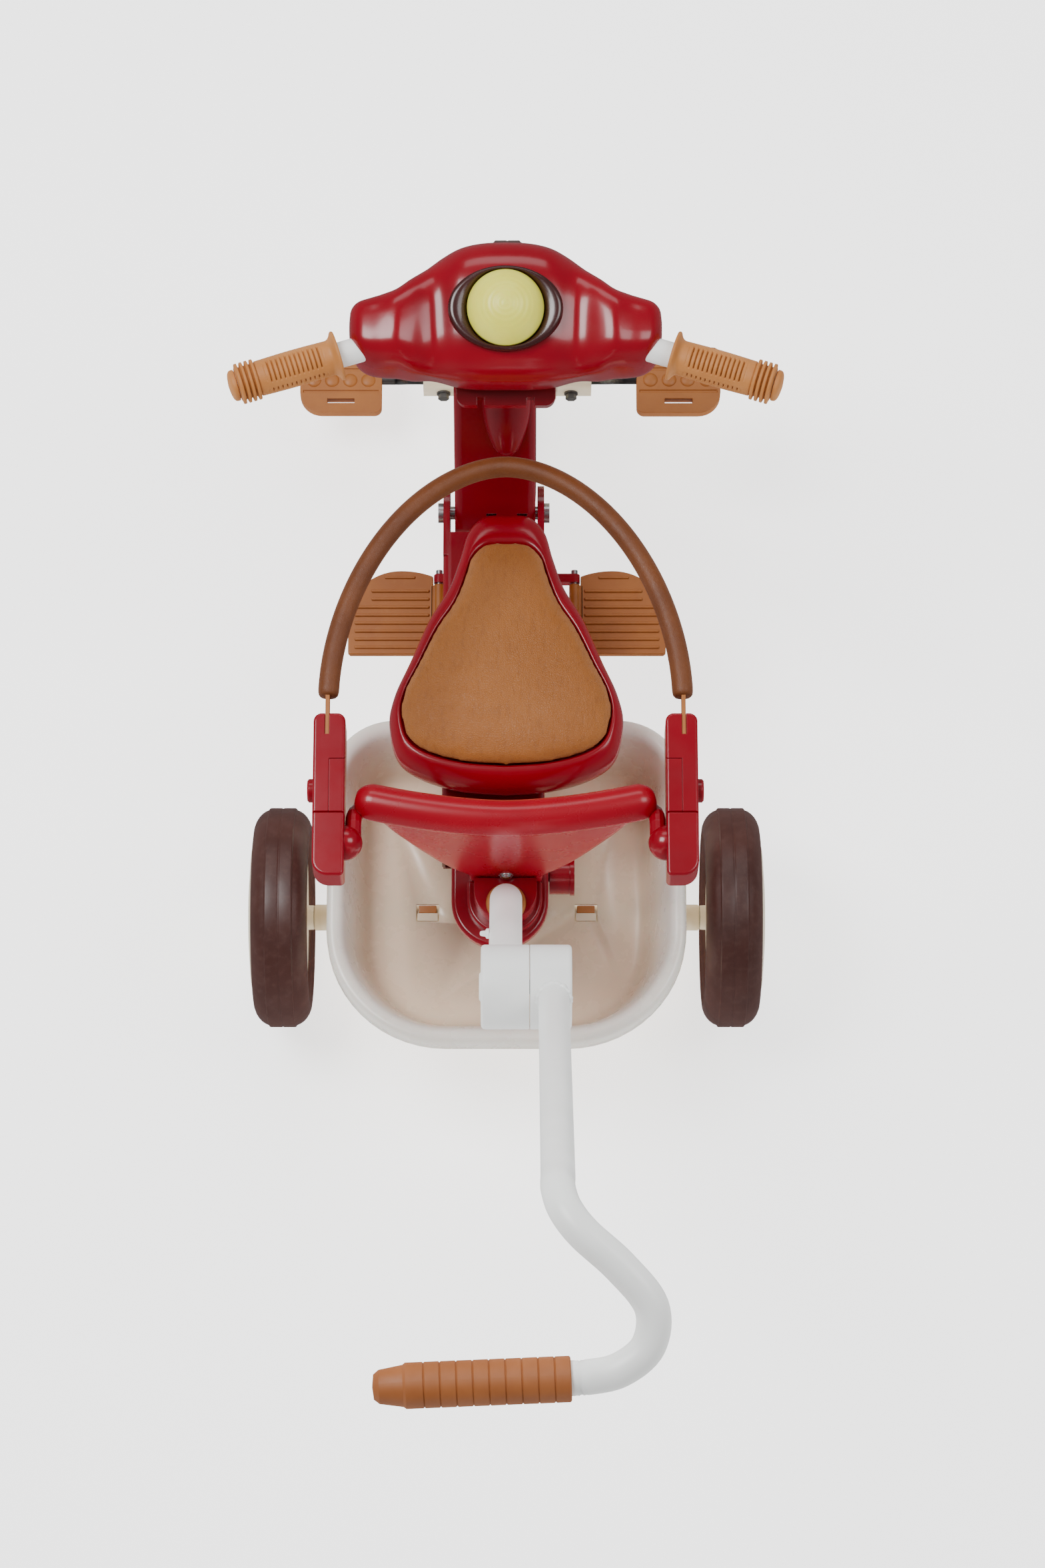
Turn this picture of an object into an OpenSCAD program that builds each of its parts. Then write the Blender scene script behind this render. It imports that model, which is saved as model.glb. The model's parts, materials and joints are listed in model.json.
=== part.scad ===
// Folding children's tricycle with a steering push bar.
// X to the rider's right, Y forwards, Z up. The origin is on the floor, in the middle of the
// tricycle's length and width. Inside the modules, Y is counted from the rear axle.

/* [Wheels] */
// Distance between the front and the rear axle
wheelbase = 520; // [515:1:525]
// Diameter of the front tyre
front_wheel_d = 260; // [256:1:262]
// Width of the front tyre
front_tyre_w = 54; // [50:1:56]
// Diameter of the rear tyres
rear_wheel_d = 200; // [196:1:204]
// Width of the rear tyres
rear_tyre_w = 51; // [48:1:53]
// Distance from the middle of the tricycle to the middle of a rear tyre
rear_wheel_x = 204; // [202:1:206]

/* [Steering] */
// Lean of the steering axis away from upright
head_angle = 20; // [18:1:22]
// Height of the handlebar
bar_z = 536; // [532:1:540]
// Diameter of the handlebar tube
bar_d = 22; // [21:0.5:22.5]
// Distance from the middle to a grip's inner flange
grip_x = 141; // [139:1:143]
// Backward sweep of the grips
grip_sweep = 17.5; // [16:0.5:19]
// Length of a handlebar grip
grip_len = 96; // [90:1:98]

/* [Pedals] */
// Radius of the cranks
crank_r = 60; // [56:1:62]
// Diameter of the crank rod
crank_d = 10; // [9:0.5:10]
// Lean of the cranks from level, with the right pedal up
crank_lean = 113; // [105:1:120]
// Width of a pedal
pedal_w = 78; // [74:1:80]
// Depth of a pedal
pedal_depth = 66; // [62:1:68]

/* [Frame] */
// Distance from the rear axle to the folding hinge
fold_y = 351; // [349:1:353]
// Height of the folding hinge
fold_z = 215; // [213:1:217]
// Height of the underside of the beam
beam_z = 190; // [188:1:191]
// Height of the beam's section
beam_h = 50; // [48:1:52]

/* [Seat] */
// Height of the seat base's lower edge
seat_z = 257; // [256:1:260]
// Height of the middle of the backrest's top bar
back_top_z = 430; // [426:1:434]

/* [Guard] */
// Height of the guard's hinge
guard_z = 430; // [428:1:432]
// Distance from the middle to the middle of a guard bracket
guard_x = 148.5; // [148:0.5:149]
// Diameter of the padded guard
guard_d = 18; // [16:1:19]

/* [Push bar] */
// Diameter of the lower push tube
push_lower_d = 28; // [27:0.5:28.5]
// Diameter of the upper push tube
push_upper_d = 25.4; // [24:0.2:26]
// Height of the push bar's folding joint
push_joint_z = 447; // [445:1:449]
// Distance from the folding joint back to the rear axle
push_joint_y = -161; // [-163:1:-159]
// Angle of the upper push tube above level
push_rise = 57.7; // [57:0.1:58.5]

/* [Basket] */
// Width of the basket at its rim
basket_w = 322; // [318:1:324]
// Height of the basket's rim
basket_top_z = 187; // [184:1:187.5]
// Height of the basket's floor
basket_floor_z = 115; // [114.5:0.5:117]

/* [Hidden] */
$fn = 48;

red = "#b5122e";
ivory = "#ece3cf";
tan_brown = "#b9824c";
tyre_brown = "#5c3530";
steel = "#b8bcc0";
run = 0.05;                          // radial clearance of a running fit
axle_r = 6;
axle_tube_r = 11;
pin_r = 6;
small_pin_r = 3;
crank_rod_r = crank_d / 2;
rear_axle_z = rear_wheel_d / 2;
front_axle_z = front_wheel_d / 2;
head_trail = -5;                     // the steering axis passes this far from the front axle
push_grip_r = 16.5;
push_grip_y = -560;
push_grip_tilt = 2.4;
push_grip_body = 118;                // length of the grip before its taper
rear_reach = push_grip_y - push_grip_body * sin(push_grip_tilt)
  - push_grip_r * cos(push_grip_tilt);
rear_axle_y = -(wheelbase + front_wheel_d / 2 + rear_reach) / 2;
beam_left = -57.5;
beam_right = 34;
beam_wall = 3;
ear_w = 6;                           // thickness of the ears round the folding hinge
beam_rear_y = 19;
tube_left = -47;
tube_right = 26;
tube_depth = 50;
knuckle_r = tube_depth / 2;
tube_dir = atan2(125, 77);           // the down tube's rise from the hinge to the head
bush_y = -44;
bush_r = 17.5;
housing_z = 192;
housing_top_z = 268;
cover_top_z = 296;
push_tube_r = push_lower_d / 2;
push_tube_end_z = 238;
link_x = -25;
hinge_x = 62;                        // footrest hinges
hinge_z = 177;
footrest_top = 5;                    // above the footrest's hinge
guard_y = 15;
bracket_w = 27;
bracket_rear_y = -64;
bracket_front_y = 79;
bracket_h = 34;
gap_r = 28.6;                        // radius of the round gap between the guard brackets
guard_arm_r = 7;
plate_gap = 0.4;                     // from the bracket's middle to each of its plates
joint_r = 35;
horn_y = 399;
horn_z = 562;
horn_tilt = 15;
horn_r = 32.5;

// ---------- small helpers ----------

// Places geometry that is measured from the rear axle
module from_axle() { translate([0, rear_axle_y, 0]) children(); }

// A cylinder along X from x0 to x1
module along_x(x0, x1, r, y = 0, z = 0) {
  translate([x0, y, z]) rotate([0, 90, 0]) cylinder(h = x1 - x0, r = r);
}

// A box from one corner to the other
module box(low, high) { translate(low) cube(high - low); }

// A flat rectangle with round corners
module round_rect(w, h, r) {
  translate([r, 0]) square([w - 2 * r, h]);
  translate([0, r]) square([w, h - 2 * r]);
  for (x = [r, w - r]) for (y = [r, h - r]) translate([x, y]) circle(r);
}

// A body on both sides, the second mirrored
module both_sides() {
  children();
  mirror([1, 0, 0]) children();
}

// The steering axis as a local Z axis, starting at the front axle's height
module on_head_axis() {
  translate([0, wheelbase + head_trail, front_axle_z]) rotate([head_angle, 0, 0]) children();
}

function unit(v) = v / norm(v);

// A smooth curve through points, with steps parts to each span
function spline_point(a, b, c, d, t) =
  0.5 * (2 * b + (c - a) * t + (2 * a - 5 * b + 4 * c - d) * t * t
    + (3 * b - a - 3 * c + d) * t * t * t);
function spline(p, steps) = [
  for (i = [0 : len(p) - 2])
    for (s = [0 : steps - 1])
      spline_point(p[max(i - 1, 0)], p[i], p[i + 1], p[min(i + 2, len(p) - 1)], s / steps),
  p[len(p) - 1]
];

// Rings of points round a path, square to it; up is never along the path
function tube_rings(path, r, up, sides) = [
  for (i = [0 : len(path) - 1])
    let (
      ahead = unit(path[min(i + 1, len(path) - 1)] - path[max(i - 1, 0)]),
      side = unit(cross(up, ahead)),
      top = cross(ahead, side)
    )
    [for (k = [0 : sides - 1])
      path[i] + r * (cos(360 * k / sides) * side + sin(360 * k / sides) * top)]
];

// A closed skin over a list of rings with equal numbers of points
module loft(rings) {
  n = len(rings[0]);
  m = len(rings);
  polyhedron(
    points = [for (ring = rings) each ring],
    faces = concat(
      [[for (k = [0 : n - 1]) k]],
      [[for (k = [n - 1 : -1 : 0]) (m - 1) * n + k]],
      [for (i = [0 : m - 2]) for (k = [0 : n - 1])
        [i * n + k, (i + 1) * n + k, (i + 1) * n + (k + 1) % n]],
      [for (i = [0 : m - 2]) for (k = [0 : n - 1])
        [i * n + k, (i + 1) * n + (k + 1) % n, i * n + (k + 1) % n]]
    )
  );
}

module bent_tube(path, r, up = [1, 0, 0], sides = 16) {
  loft(tube_rings(path, r, up, sides));
}

// ---------- rear frame ----------

module rear_beam() {
  w = beam_right - beam_left;
  color(red) from_axle() {
    difference() {
      union() {
        translate([beam_left, beam_rear_y, beam_z]) rotate([90, 0, 0]) mirror([0, 0, 1])
          linear_extrude(fold_y - knuckle_r - 3 - beam_rear_y) round_rect(w, beam_h, 8);
        for (x = [beam_left, beam_right - ear_w]) {
          box([x, fold_y - 50, beam_z + 0.5], [x + ear_w, fold_y, beam_z + beam_h - 0.5]);
          along_x(x, x + ear_w, beam_h / 2 - 0.5, fold_y, fold_z);
        }
      }
      box([beam_left + beam_wall, beam_rear_y - 1, beam_z - 1],
          [beam_right - beam_wall, fold_y - 50, beam_z + beam_h - beam_wall]);
      box([beam_left + ear_w, fold_y - 51, beam_z - 1],
          [beam_right - ear_w, fold_y, beam_z + beam_h - beam_wall]);
      along_x(beam_left - 1, beam_right + 1, pin_r, fold_y, fold_z);
    }
    box([beam_left + 1, beam_rear_y, beam_z], [beam_right - 1, 60, beam_z + 4]);
    difference() {
      translate([-37, -14, 86]) linear_extrude(beam_z + 4 - 86) round_rect(50, 60, 6);
      translate([-33, -10, 116]) cube([42, 52, beam_z - 116]);
      along_x(-60, 60, axle_tube_r, 0, rear_axle_z);
    }
  }
}

module fold_pin() {
  color(steel) from_axle() {
    along_x(beam_left - 2.5, beam_right + 2.5, pin_r, fold_y, fold_z);
    along_x(beam_left - 5, beam_left, 9, fold_y, fold_z);
    along_x(beam_right, beam_right + 5, 9, fold_y, fold_z);
  }
}

// Two torsion springs round the hinge pin, each as four turns
module fold_springs() {
  color(steel) from_axle() for (x = [-14, 14]) for (turn = [-1.5 : 1 : 1.5])
    translate([x + 1.9 * turn, fold_y, fold_z]) rotate([0, 90, 0])
      rotate_extrude() translate([8.6, 0]) circle(0.9, $fn = 24);
}

// A U outline with its round end at the rear
module u_outline(left, right, rear, front) {
  r = (right - left) / 2;
  intersection() {
    union() {
      translate([left + r, rear + r]) circle(r);
      translate([left, rear + r]) square([right - left, front - rear]);
    }
    translate([left, rear]) square([right - left, front - rear]);
  }
}

// U-shaped top plate, the bush's seat under it and a box that stands on the beam
module rear_housing() {
  wall = 4;
  seat_z0 = 242;
  color(red) from_axle() difference() {
    union() {
      translate([0, 0, 254]) linear_extrude(housing_top_z - 254)
        u_outline(-48, 37, -76, beam_rear_y);
      translate([0, 0, seat_z0]) linear_extrude(20) u_outline(-44, 33, -66, beam_rear_y);
      box([-44, -14, beam_z + 4], [33, beam_rear_y, seat_z0 + 1]);
      along_x(30, 37, 11, -3, 240);
    }
    translate([0, 0, seat_z0 - 1]) linear_extrude(13)
      u_outline(-44 + wall, 33 - wall, -66 + wall, beam_rear_y + 1);
    box([-44 + wall, -14 + wall, beam_z + 3], [33 - wall, beam_rear_y + 1, seat_z0]);
    box([link_x - 6, -16, 211], [link_x + 6, -8, 229]);
    translate([0, bush_y, housing_z]) cylinder(h = 90, r = 16.5);
    along_x(24, 40, 5 + run, -3, 240);
  }
}

module housing_cover() {
  color(red) from_axle() difference() {
    translate([0, 0, housing_top_z]) linear_extrude(cover_top_z - housing_top_z)
      u_outline(-29, 28, -60, -21);
    translate([0, bush_y, housing_z]) cylinder(h = 120, r = 16.5);
  }
}

module steer_bush() {
  color(tan_brown) from_axle() translate([0, bush_y, 0]) difference() {
    union() {
      translate([0, 0, 257]) cylinder(h = cover_top_z - 257, r = 16.5);
      translate([0, 0, cover_top_z]) cylinder(h = 6, r1 = bush_r, r2 = bush_r - 1.5);
    }
    cylinder(h = 400, r = push_tube_r + run);
  }
}

// The axle, with a push-on nut at each end
module rear_axle() {
  end_x = rear_wheel_x + 18;
  color(steel) from_axle() {
    along_x(-end_x, end_x, axle_r, 0, rear_axle_z);
    for (x = [-end_x - 1.5, end_x - 1.5]) along_x(x, x + 3, 9, 0, rear_axle_z);
  }
}

module axle_tube() {
  color(ivory) from_axle() difference() {
    along_x(28.5 - rear_wheel_x, rear_wheel_x - 28.5, axle_tube_r, 0, rear_axle_z);
    along_x(-190, 190, axle_r, 0, rear_axle_z);
  }
}

// ---------- basket ----------

// The basket's outline, moved inwards by inset
function basket_outline(inset, z) = let (
    hx = basket_w / 2 - inset, front = 162 - inset, rear = -141 + inset,
    rf = 60 - inset, rr = 107 - inset
  ) [
    for (a = [0 : 10 : 90]) [hx - rf + rf * cos(a), front - rf + rf * sin(a), z],
    for (a = [90 : 10 : 180]) [-hx + rf + rf * cos(a), front - rf + rf * sin(a), z],
    for (a = [180 : 9 : 270]) [-hx + rr + rr * cos(a), rear + rr + rr * sin(a), z],
    for (a = [270 : 9 : 360]) [hx - rr + rr * cos(a), rear + rr + rr * sin(a), z]
  ];

module basket() {
  f = basket_floor_z;
  t = basket_top_z;
  section = [
    [43, f - 3], [36, f - 1], [30, f + 6], [17, t - 14], [13, t - 6], [3, t - 5], [2.4, t - 22],
    [0, t - 22], [0, t - 4], [2, t - 0.8], [6, t], [11, t - 0.8], [15, t - 5], [20, t - 14],
    [32, f + 10], [37, f + 3], [44, f]
  ];
  color("#efe9dd") from_axle() difference() {
    loft([for (s = section) basket_outline(s[0], s[1])]);
    both_sides() box([61.7, -8, f - 5], [82.3, 8, f + 5]);
    box([-39, -16, f - 5], [15, 48, f + 5]);
  }
}

// Two hooks that hold the basket on the axle tube
module basket_clips() {
  color(ivory) from_axle() both_sides() difference() {
    along_x(64, 80, axle_tube_r + 2.5, 0, rear_axle_z);
    along_x(60, 84, axle_tube_r, 0, rear_axle_z);
    box([60, 5, 80], [84, 30, 130]);
    box([60, -30, 113], [84, 30, 130]);
  }
}

// ---------- seat and backrest ----------

// Half of the saddle's outline, from the nose to the middle of the rear: half width, then Y
saddle_half = [
  [0, 292], [18, 291], [31, 279], [38, 258], [47, 235], [63, 210], [78, 178], [90, 153],
  [94, 132], [88, 107], [70, 93], [38, 84], [0, 81]
];
saddle_y = 160;
function saddle_ring(grow, nose, rear, z) = let (
    right = spline(saddle_half, 2),
    n = len(right),
    ring = [
      for (i = [n - 1 : -1 : 1]) right[i],
      for (i = [0 : n - 2]) [-right[i][0], right[i][1]]
    ]
  ) [for (p = ring) [
    p[0] * grow, saddle_y + (p[1] - saddle_y) * (p[1] > saddle_y ? nose : rear), z
  ]];

module seat_mount() {
  color(red) from_axle() {
    translate([-37, 100, beam_z + beam_h]) linear_extrude(seat_z + 34 - beam_z - beam_h)
      round_rect(56, 110, 8);
  }
}

module seat_base() {
  z = seat_z;
  color(red) from_axle() difference() {
    loft([
      saddle_ring(1.02, 1.16, 1.14, z), saddle_ring(1.06, 1.2, 1.19, z + 3),
      saddle_ring(1.09, 1.225, 1.23, z + 10), saddle_ring(1.1, 1.23, 1.23, z + 26),
      saddle_ring(1.09, 1.2, 1.18, z + 34), saddle_ring(1.06, 1.13, 1.11, z + 38),
      saddle_ring(1.0, 1.0, 1.0, z + 39)
    ]);
    loft([saddle_ring(0.96, 1.08, 1.06, z - 1), saddle_ring(1.0, 1.1, 1.09, z + 34)]);
  }
}

module seat_cushion() {
  z = seat_z + 39;
  color(tan_brown) from_axle() loft([
    saddle_ring(0.97, 0.98, 0.97, z), saddle_ring(1, 1, 1, z + 3),
    saddle_ring(0.98, 0.99, 0.98, z + 8), saddle_ring(0.9, 0.93, 0.9, z + 12),
    saddle_ring(0.72, 0.78, 0.72, z + 15), saddle_ring(0.45, 0.5, 0.45, z + 16)
  ]);
}

// Backrest stations: height, half width, half thickness, Y of the middle, forward curve
back_stations = [
  [housing_top_z, 31, 7, -13.5, 0], [292, 34, 7, -13.5, 0], [310, 49, 8, -12.8, 0.1],
  [344, 70, 8.5, -11.5, 0.3], [379, 94, 9, -10, 0.6], [405, 108, 10, -9.5, 0.85],
  [418, 111, 10, -9.5, 1], [424, 104, 7, -9.5, 1]
];
// How far forwards the top bar lies at a distance from the middle
function back_curve(x) = 16 * pow(abs(x) / 116, 1.7);
function back_ring(s) = [
  for (a = [0 : 15 : 345]) let (
    c = cos(a), d = sin(a), x = s[1] * sign(c) * pow(abs(c), 0.55)
  ) [x, s[3] + s[4] * back_curve(x) + s[2] * sign(d) * pow(abs(d), 0.7), s[0]]
];
back_bar = [for (i = [-9 : 9]) let (x = 12.4 * i)
  [x, -9.5 + back_curve(x), back_top_z - 3 * pow(abs(x) / 112, 2)]];

module backrest() {
  bar_r = 15.4;
  color(red) from_axle() {
    loft([for (s = back_stations) back_ring(s)]);
    bent_tube(back_bar, bar_r, [0, 0, 1], 24);
    both_sides() translate(back_bar[len(back_bar) - 1]) sphere(bar_r - 0.3);
  }
}

module backrest_bolt() {
  color(steel) from_axle() translate([0, -19.9, 302.5]) rotate([90, 0, 0]) {
    cylinder(h = 1.5, r = 5.5);
    translate([0, 0, 1.5]) cylinder(h = 2, r1 = 5.5, r2 = 3);
  }
}

// ---------- guard ----------

// The arm's route from its bracket down to where it enters the beam's side wall
function guard_arm_path(end_x) = spline([
  [128, -34, guard_z], [128, -14, guard_z - 1], [126.5, -2, 420], [121.5, 8, 398], [110, 17, 365],
  [96, 26, 330], [80, 36, 285], [end_x + 20, 50, 242], [end_x, 60, 218]
], 3);

module guard_arms() {
  color(red) from_axle() {
    bent_tube(guard_arm_path(28), guard_arm_r, [1, 0, 0.3], 12);
    mirror([1, 0, 0]) bent_tube(guard_arm_path(46), guard_arm_r, [1, 0, 0.3], 12);
  }
}

// Round end of a bracket's plate on the hinge, between two planes of X
module hinge_plate(x0, x1, r) {
  intersection() {
    along_x(x0, x1, r, guard_y, guard_z);
    box([x0, guard_y - 40, guard_z - bracket_h / 2], [x1, guard_y + 40, guard_z + bracket_h / 2]);
  }
}

// Fixed rear halves of the guard's side brackets, each with a plate on the inner side
module rear_brackets() {
  half = bracket_w / 2;
  color(red) from_axle() both_sides() translate([guard_x, 0, 0]) difference() {
    union() {
      difference() {
        union() {
          translate([0, 0, guard_z - bracket_h / 2]) linear_extrude(bracket_h) {
            translate([-half, bracket_rear_y]) square([bracket_w - 14, -bracket_rear_y]);
            translate([-half, bracket_rear_y + 14]) square([bracket_w, -bracket_rear_y - 14]);
            translate([half - 14, bracket_rear_y + 14]) circle(14);
          }
        }
        along_x(-plate_gap, half + 1, gap_r + 1, guard_y, guard_z);
      }
      box([-half, -2, guard_z - bracket_h / 2], [-plate_gap, guard_y, guard_z + bracket_h / 2]);
      hinge_plate(-half, -plate_gap, gap_r);
      translate([-half, -31, guard_z]) sphere(15);
    }
    along_x(-half + 3, half, 4, guard_y, guard_z);
  }
}

// The moving front halves, each with a plate on the outer side and a socket for the button
module guard_brackets() {
  half = bracket_w / 2;
  color(red) from_axle() both_sides() translate([guard_x, 0, 0]) difference() {
    union() {
      difference() {
        union() {
          translate([0, 0, guard_z - bracket_h / 2]) linear_extrude(bracket_h) {
            translate([-half, guard_y]) square([bracket_w, bracket_front_y - 7 - guard_y]);
            translate([7 - half, guard_y]) square([bracket_w - 14, bracket_front_y - guard_y]);
            for (x = [7 - half, half - 7]) translate([x, bracket_front_y - 7]) circle(7);
          }
        }
        along_x(-half - 1, plate_gap, gap_r + 1, guard_y, guard_z);
      }
      hinge_plate(plate_gap, half, gap_r);
    }
    along_x(-half, half, 4 + run, guard_y, guard_z);
    along_x(5.8, half + 1, 10.3, guard_y, guard_z);
    box([0.2, 60, 430], [4, 80, 450]);
  }
}

// Pins of the guard's two hinges and of the two footrests
module hinge_pins() {
  color(steel) from_axle() both_sides() {
    along_x(guard_x - 10.5, guard_x + 5.5, 4, guard_y, guard_z);
    translate([hinge_x, 226, hinge_z]) rotate([-90, 0, 0]) cylinder(h = 83, r = small_pin_r);
  }
}

// Flat ends of the guard's core, between the padding and the brackets
module guard_strap() {
  color(tan_brown) from_axle() both_sides()
    box([guard_x + 0.2, 60, 434], [guard_x + 3.7, 112, 446]);
}

guard_path = [for (a = [0 : 6 : 180]) let (c = cos(a), s = sin(a)) [
  (guard_x + 1.5) * sign(c) * pow(abs(c), 1.08), 94 + 211 * pow(abs(s), 1.08), 440
]];

module guard_sleeve() {
  color("#96643c") from_axle() bent_tube(guard_path, guard_d / 2, [0, 0, 1], 16);
}

module guard_button() {
  color(red) from_axle() {
    along_x(guard_x + 9.5, guard_x + 17, 10, guard_y, guard_z);
    translate([guard_x + 17, guard_y, guard_z]) rotate([0, 90, 0])
      cylinder(h = 1.5, r1 = 10, r2 = 8.5);
  }
}
module guard_button_left() { mirror([1, 0, 0]) guard_button(); }
module guard_button_right() { guard_button(); }

// ---------- footrests ----------

module footrest_lugs() {
  color("#8a2233") from_axle() for (y = [227, 296.5]) {
    box([-hinge_x, y, hinge_z - 5], [beam_left + 12, y + 8, hinge_z + 5]);
    box([beam_left, y, hinge_z - 5], [beam_left + 12, y + 8, beam_z]);
    box([beam_right - 4, y, hinge_z - 5], [hinge_x, y + 8, hinge_z + 5]);
    box([beam_right - 4, y, hinge_z - 5], [beam_right, y + 8, beam_z]);
    for (x = [-hinge_x, hinge_x]) translate([x, y, hinge_z]) rotate([-90, 0, 0])
      cylinder(h = 8, r = 5);
  }
}

// A footrest on the right: flat rear edge, round front, ribs on top
module footrest_shape(outer, inner, front, mid_y) {
  across = 97;
  polygon(concat(
    [[inner, 227], [outer, 227]],
    [for (a = [0 : 10 : 90])
      [across + (outer - across) * cos(a), mid_y + (front - mid_y) * sin(a)]],
    [for (a = [97 : 6 : 115])
      [across + 62 * cos(a), mid_y + (front - mid_y) * sin(a)]],
    [[inner, mid_y + (front - mid_y) * sqrt(1 - pow((across - inner) / 62, 2))]]
  ));
}

module footrest() {
  rib_step = 7.8;
  outer = 145;
  inner = hinge_x + 5.5;
  color(tan_brown) from_axle() translate([0, 0, hinge_z]) difference() {
    union() {
      translate([0, 0, -4]) linear_extrude(footrest_top + 2.5)
        footrest_shape(outer, inner, 308, 262);
      box([outer - 8, 230, -12], [outer - 3, 275, -3]);
      for (k = [0 : 8])
        box([72, 232 + k * rib_step, 2], [k > 5 ? 120 : 138, 234.6 + k * rib_step, 5]);
      translate([hinge_x, 236, 0]) rotate([-90, 0, 0]) cylinder(h = 59, r = 5);
      box([hinge_x, 237, -3.5], [inner + 3, 294, 3]);
    }
    translate([hinge_x, 220, 0]) rotate([-90, 0, 0]) cylinder(h = 100, r = small_pin_r + run);
  }
}
module footrest_left() { mirror([1, 0, 0]) footrest(); }
module footrest_right() { footrest(); }

// ---------- wheels ----------

// Half of a tyre's section as radius and offset, from the bead to the middle of the tread
module tyre_section(r, bead_r, w) {
  h = w / 2;
  half = [
    [bead_r, h - 5], [bead_r + 4, h - 1.5], [r - 15, h], [r - 8, h - 1.2], [r - 4, h - 4.5],
    [r - 1.8, h - 9], [r - 1.1, 12.8], [r, 12.2]
  ];
  polygon(concat(half, [for (i = [len(half) - 1 : -1 : 0]) [half[i][0], -half[i][1]]]));
}

module rear_tyre(side) {
  color(tyre_brown) from_axle() translate([side * rear_wheel_x, 0, rear_axle_z])
    rotate([0, 90, 0]) rotate_extrude($fn = 96) tyre_section(rear_wheel_d / 2, 76, rear_tyre_w);
}
module rear_tyre_left() { rear_tyre(-1); }
module rear_tyre_right() { rear_tyre(1); }

// Hub of a rear wheel: rim, inner disc and boss
module rear_hub(side) {
  color(ivory) from_axle() translate([side * rear_wheel_x, 0, rear_axle_z])
    rotate([0, 90 * side, 0]) rotate_extrude($fn = 96) polygon([
      [axle_r + run, -28], [11, -28], [11.5, -18], [30, -15.5], [62, -15], [70, -19], [76, -19.5],
      [76, 19], [71, 19], [71, -12], [12, -11.5], [12, 14], [axle_r + run, 14]
    ]);
}
module rear_hub_left() { rear_hub(-1); }
module rear_hub_right() { rear_hub(1); }

module hub_cap(side) {
  color(ivory) from_axle() translate([side * rear_wheel_x, 0, rear_axle_z])
    rotate([0, 90 * side, 0]) rotate_extrude($fn = 96) polygon([
      [0, 25], [0, 30], [42, 29.6], [66, 27.6], [72, 25], [73.5, 21], [73.5, 19], [68, 19],
      [66, 23]
    ]);
}
module hub_cap_left() { hub_cap(-1); }
module hub_cap_right() { hub_cap(1); }

module front_tyre() {
  color(tyre_brown) from_axle() translate([0, wheelbase, front_axle_z])
    rotate([0, 90, 0]) rotate_extrude($fn = 96) tyre_section(front_wheel_d / 2, 102, front_tyre_w);
}

module front_hub() {
  half = [[crank_rod_r, 30], [14, 30], [15, 12], [34, 6], [88, 4], [95, 21], [102, 22]];
  color(ivory) from_axle() translate([0, wheelbase, front_axle_z]) rotate([0, 90, 0])
    rotate_extrude($fn = 96) polygon(
      concat(half, [for (i = [len(half) - 1 : -1 : 0]) [half[i][0], -half[i][1]]]));
}

// One bend of the crank rod, from the axle out to the pedal spindle
crank_bend = spline([[79, 0, 0], [86, 0, 0], [93, 0, 7], [97, 0, 30], [101, 0, crank_r - 7],
  [105, 0, crank_r], [112, 0, crank_r]], 3);

module crank() {
  color("#1c1c1e") from_axle() translate([0, wheelbase, front_axle_z]) {
    along_x(-82, 82, crank_rod_r);
    for (side = [1, -1]) rotate([crank_lean - 90 + (side > 0 ? 0 : 180), 0, 0])
      mirror([side > 0 ? 0 : 1, 0, 0]) {
        bent_tube(crank_bend, crank_rod_r - 0.05, [0, 1, 0], 16);
        along_x(108, 190, crank_rod_r, 0, crank_r);
      }
  }
}

// Middle of a pedal, measured from the front axle
function pedal_middle(side) =
  [0, side * crank_r * cos(crank_lean), side * crank_r * sin(crank_lean)];

// A pedal on the right, round its spindle; the outer rear corner is the roundest
module pedal(side) {
  inner = 120;
  outer = inner + pedal_w;
  h = pedal_depth / 2;
  t = 5;
  r = 7;
  big = 21;
  color(tan_brown) from_axle() translate([0, wheelbase, front_axle_z] + pedal_middle(side))
    mirror([side > 0 ? 0 : 1, 0, 0]) difference() {
      translate([0, -3, 0]) union() {
        translate([0, 0, -t]) linear_extrude(2 * t) difference() {
          union() {
            translate([inner, -h + big]) square([pedal_w, 2 * h - big - r]);
            translate([inner + r, -h]) square([pedal_w - big - r, 2 * h]);
            for (x = [inner + r, outer - r]) translate([x, h - r]) circle(r);
            translate([inner + r, h - r]) square([pedal_w - 2 * r, r]);
            translate([inner + r, -h + r]) circle(r);
            translate([inner, -h + r]) square([r, big]);
            translate([outer - big, -h + big]) circle(big);
          }
          for (y = [-21, 21]) translate([inner + 26, y - 2.25]) square([26, 4.5]);
        }
        along_x(inner, outer, 8, 3);
        for (k = [0 : 3]) for (z = [-1, 1])
          translate([inner + 13 + k * 17.3, 0, z * 2.5]) sphere(7.5);
      }
      along_x(inner - 1, outer - 3, crank_rod_r + run);
    }
}
module pedal_left() { pedal(-1); }
module pedal_right() { pedal(1); }

// ---------- front section ----------

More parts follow.
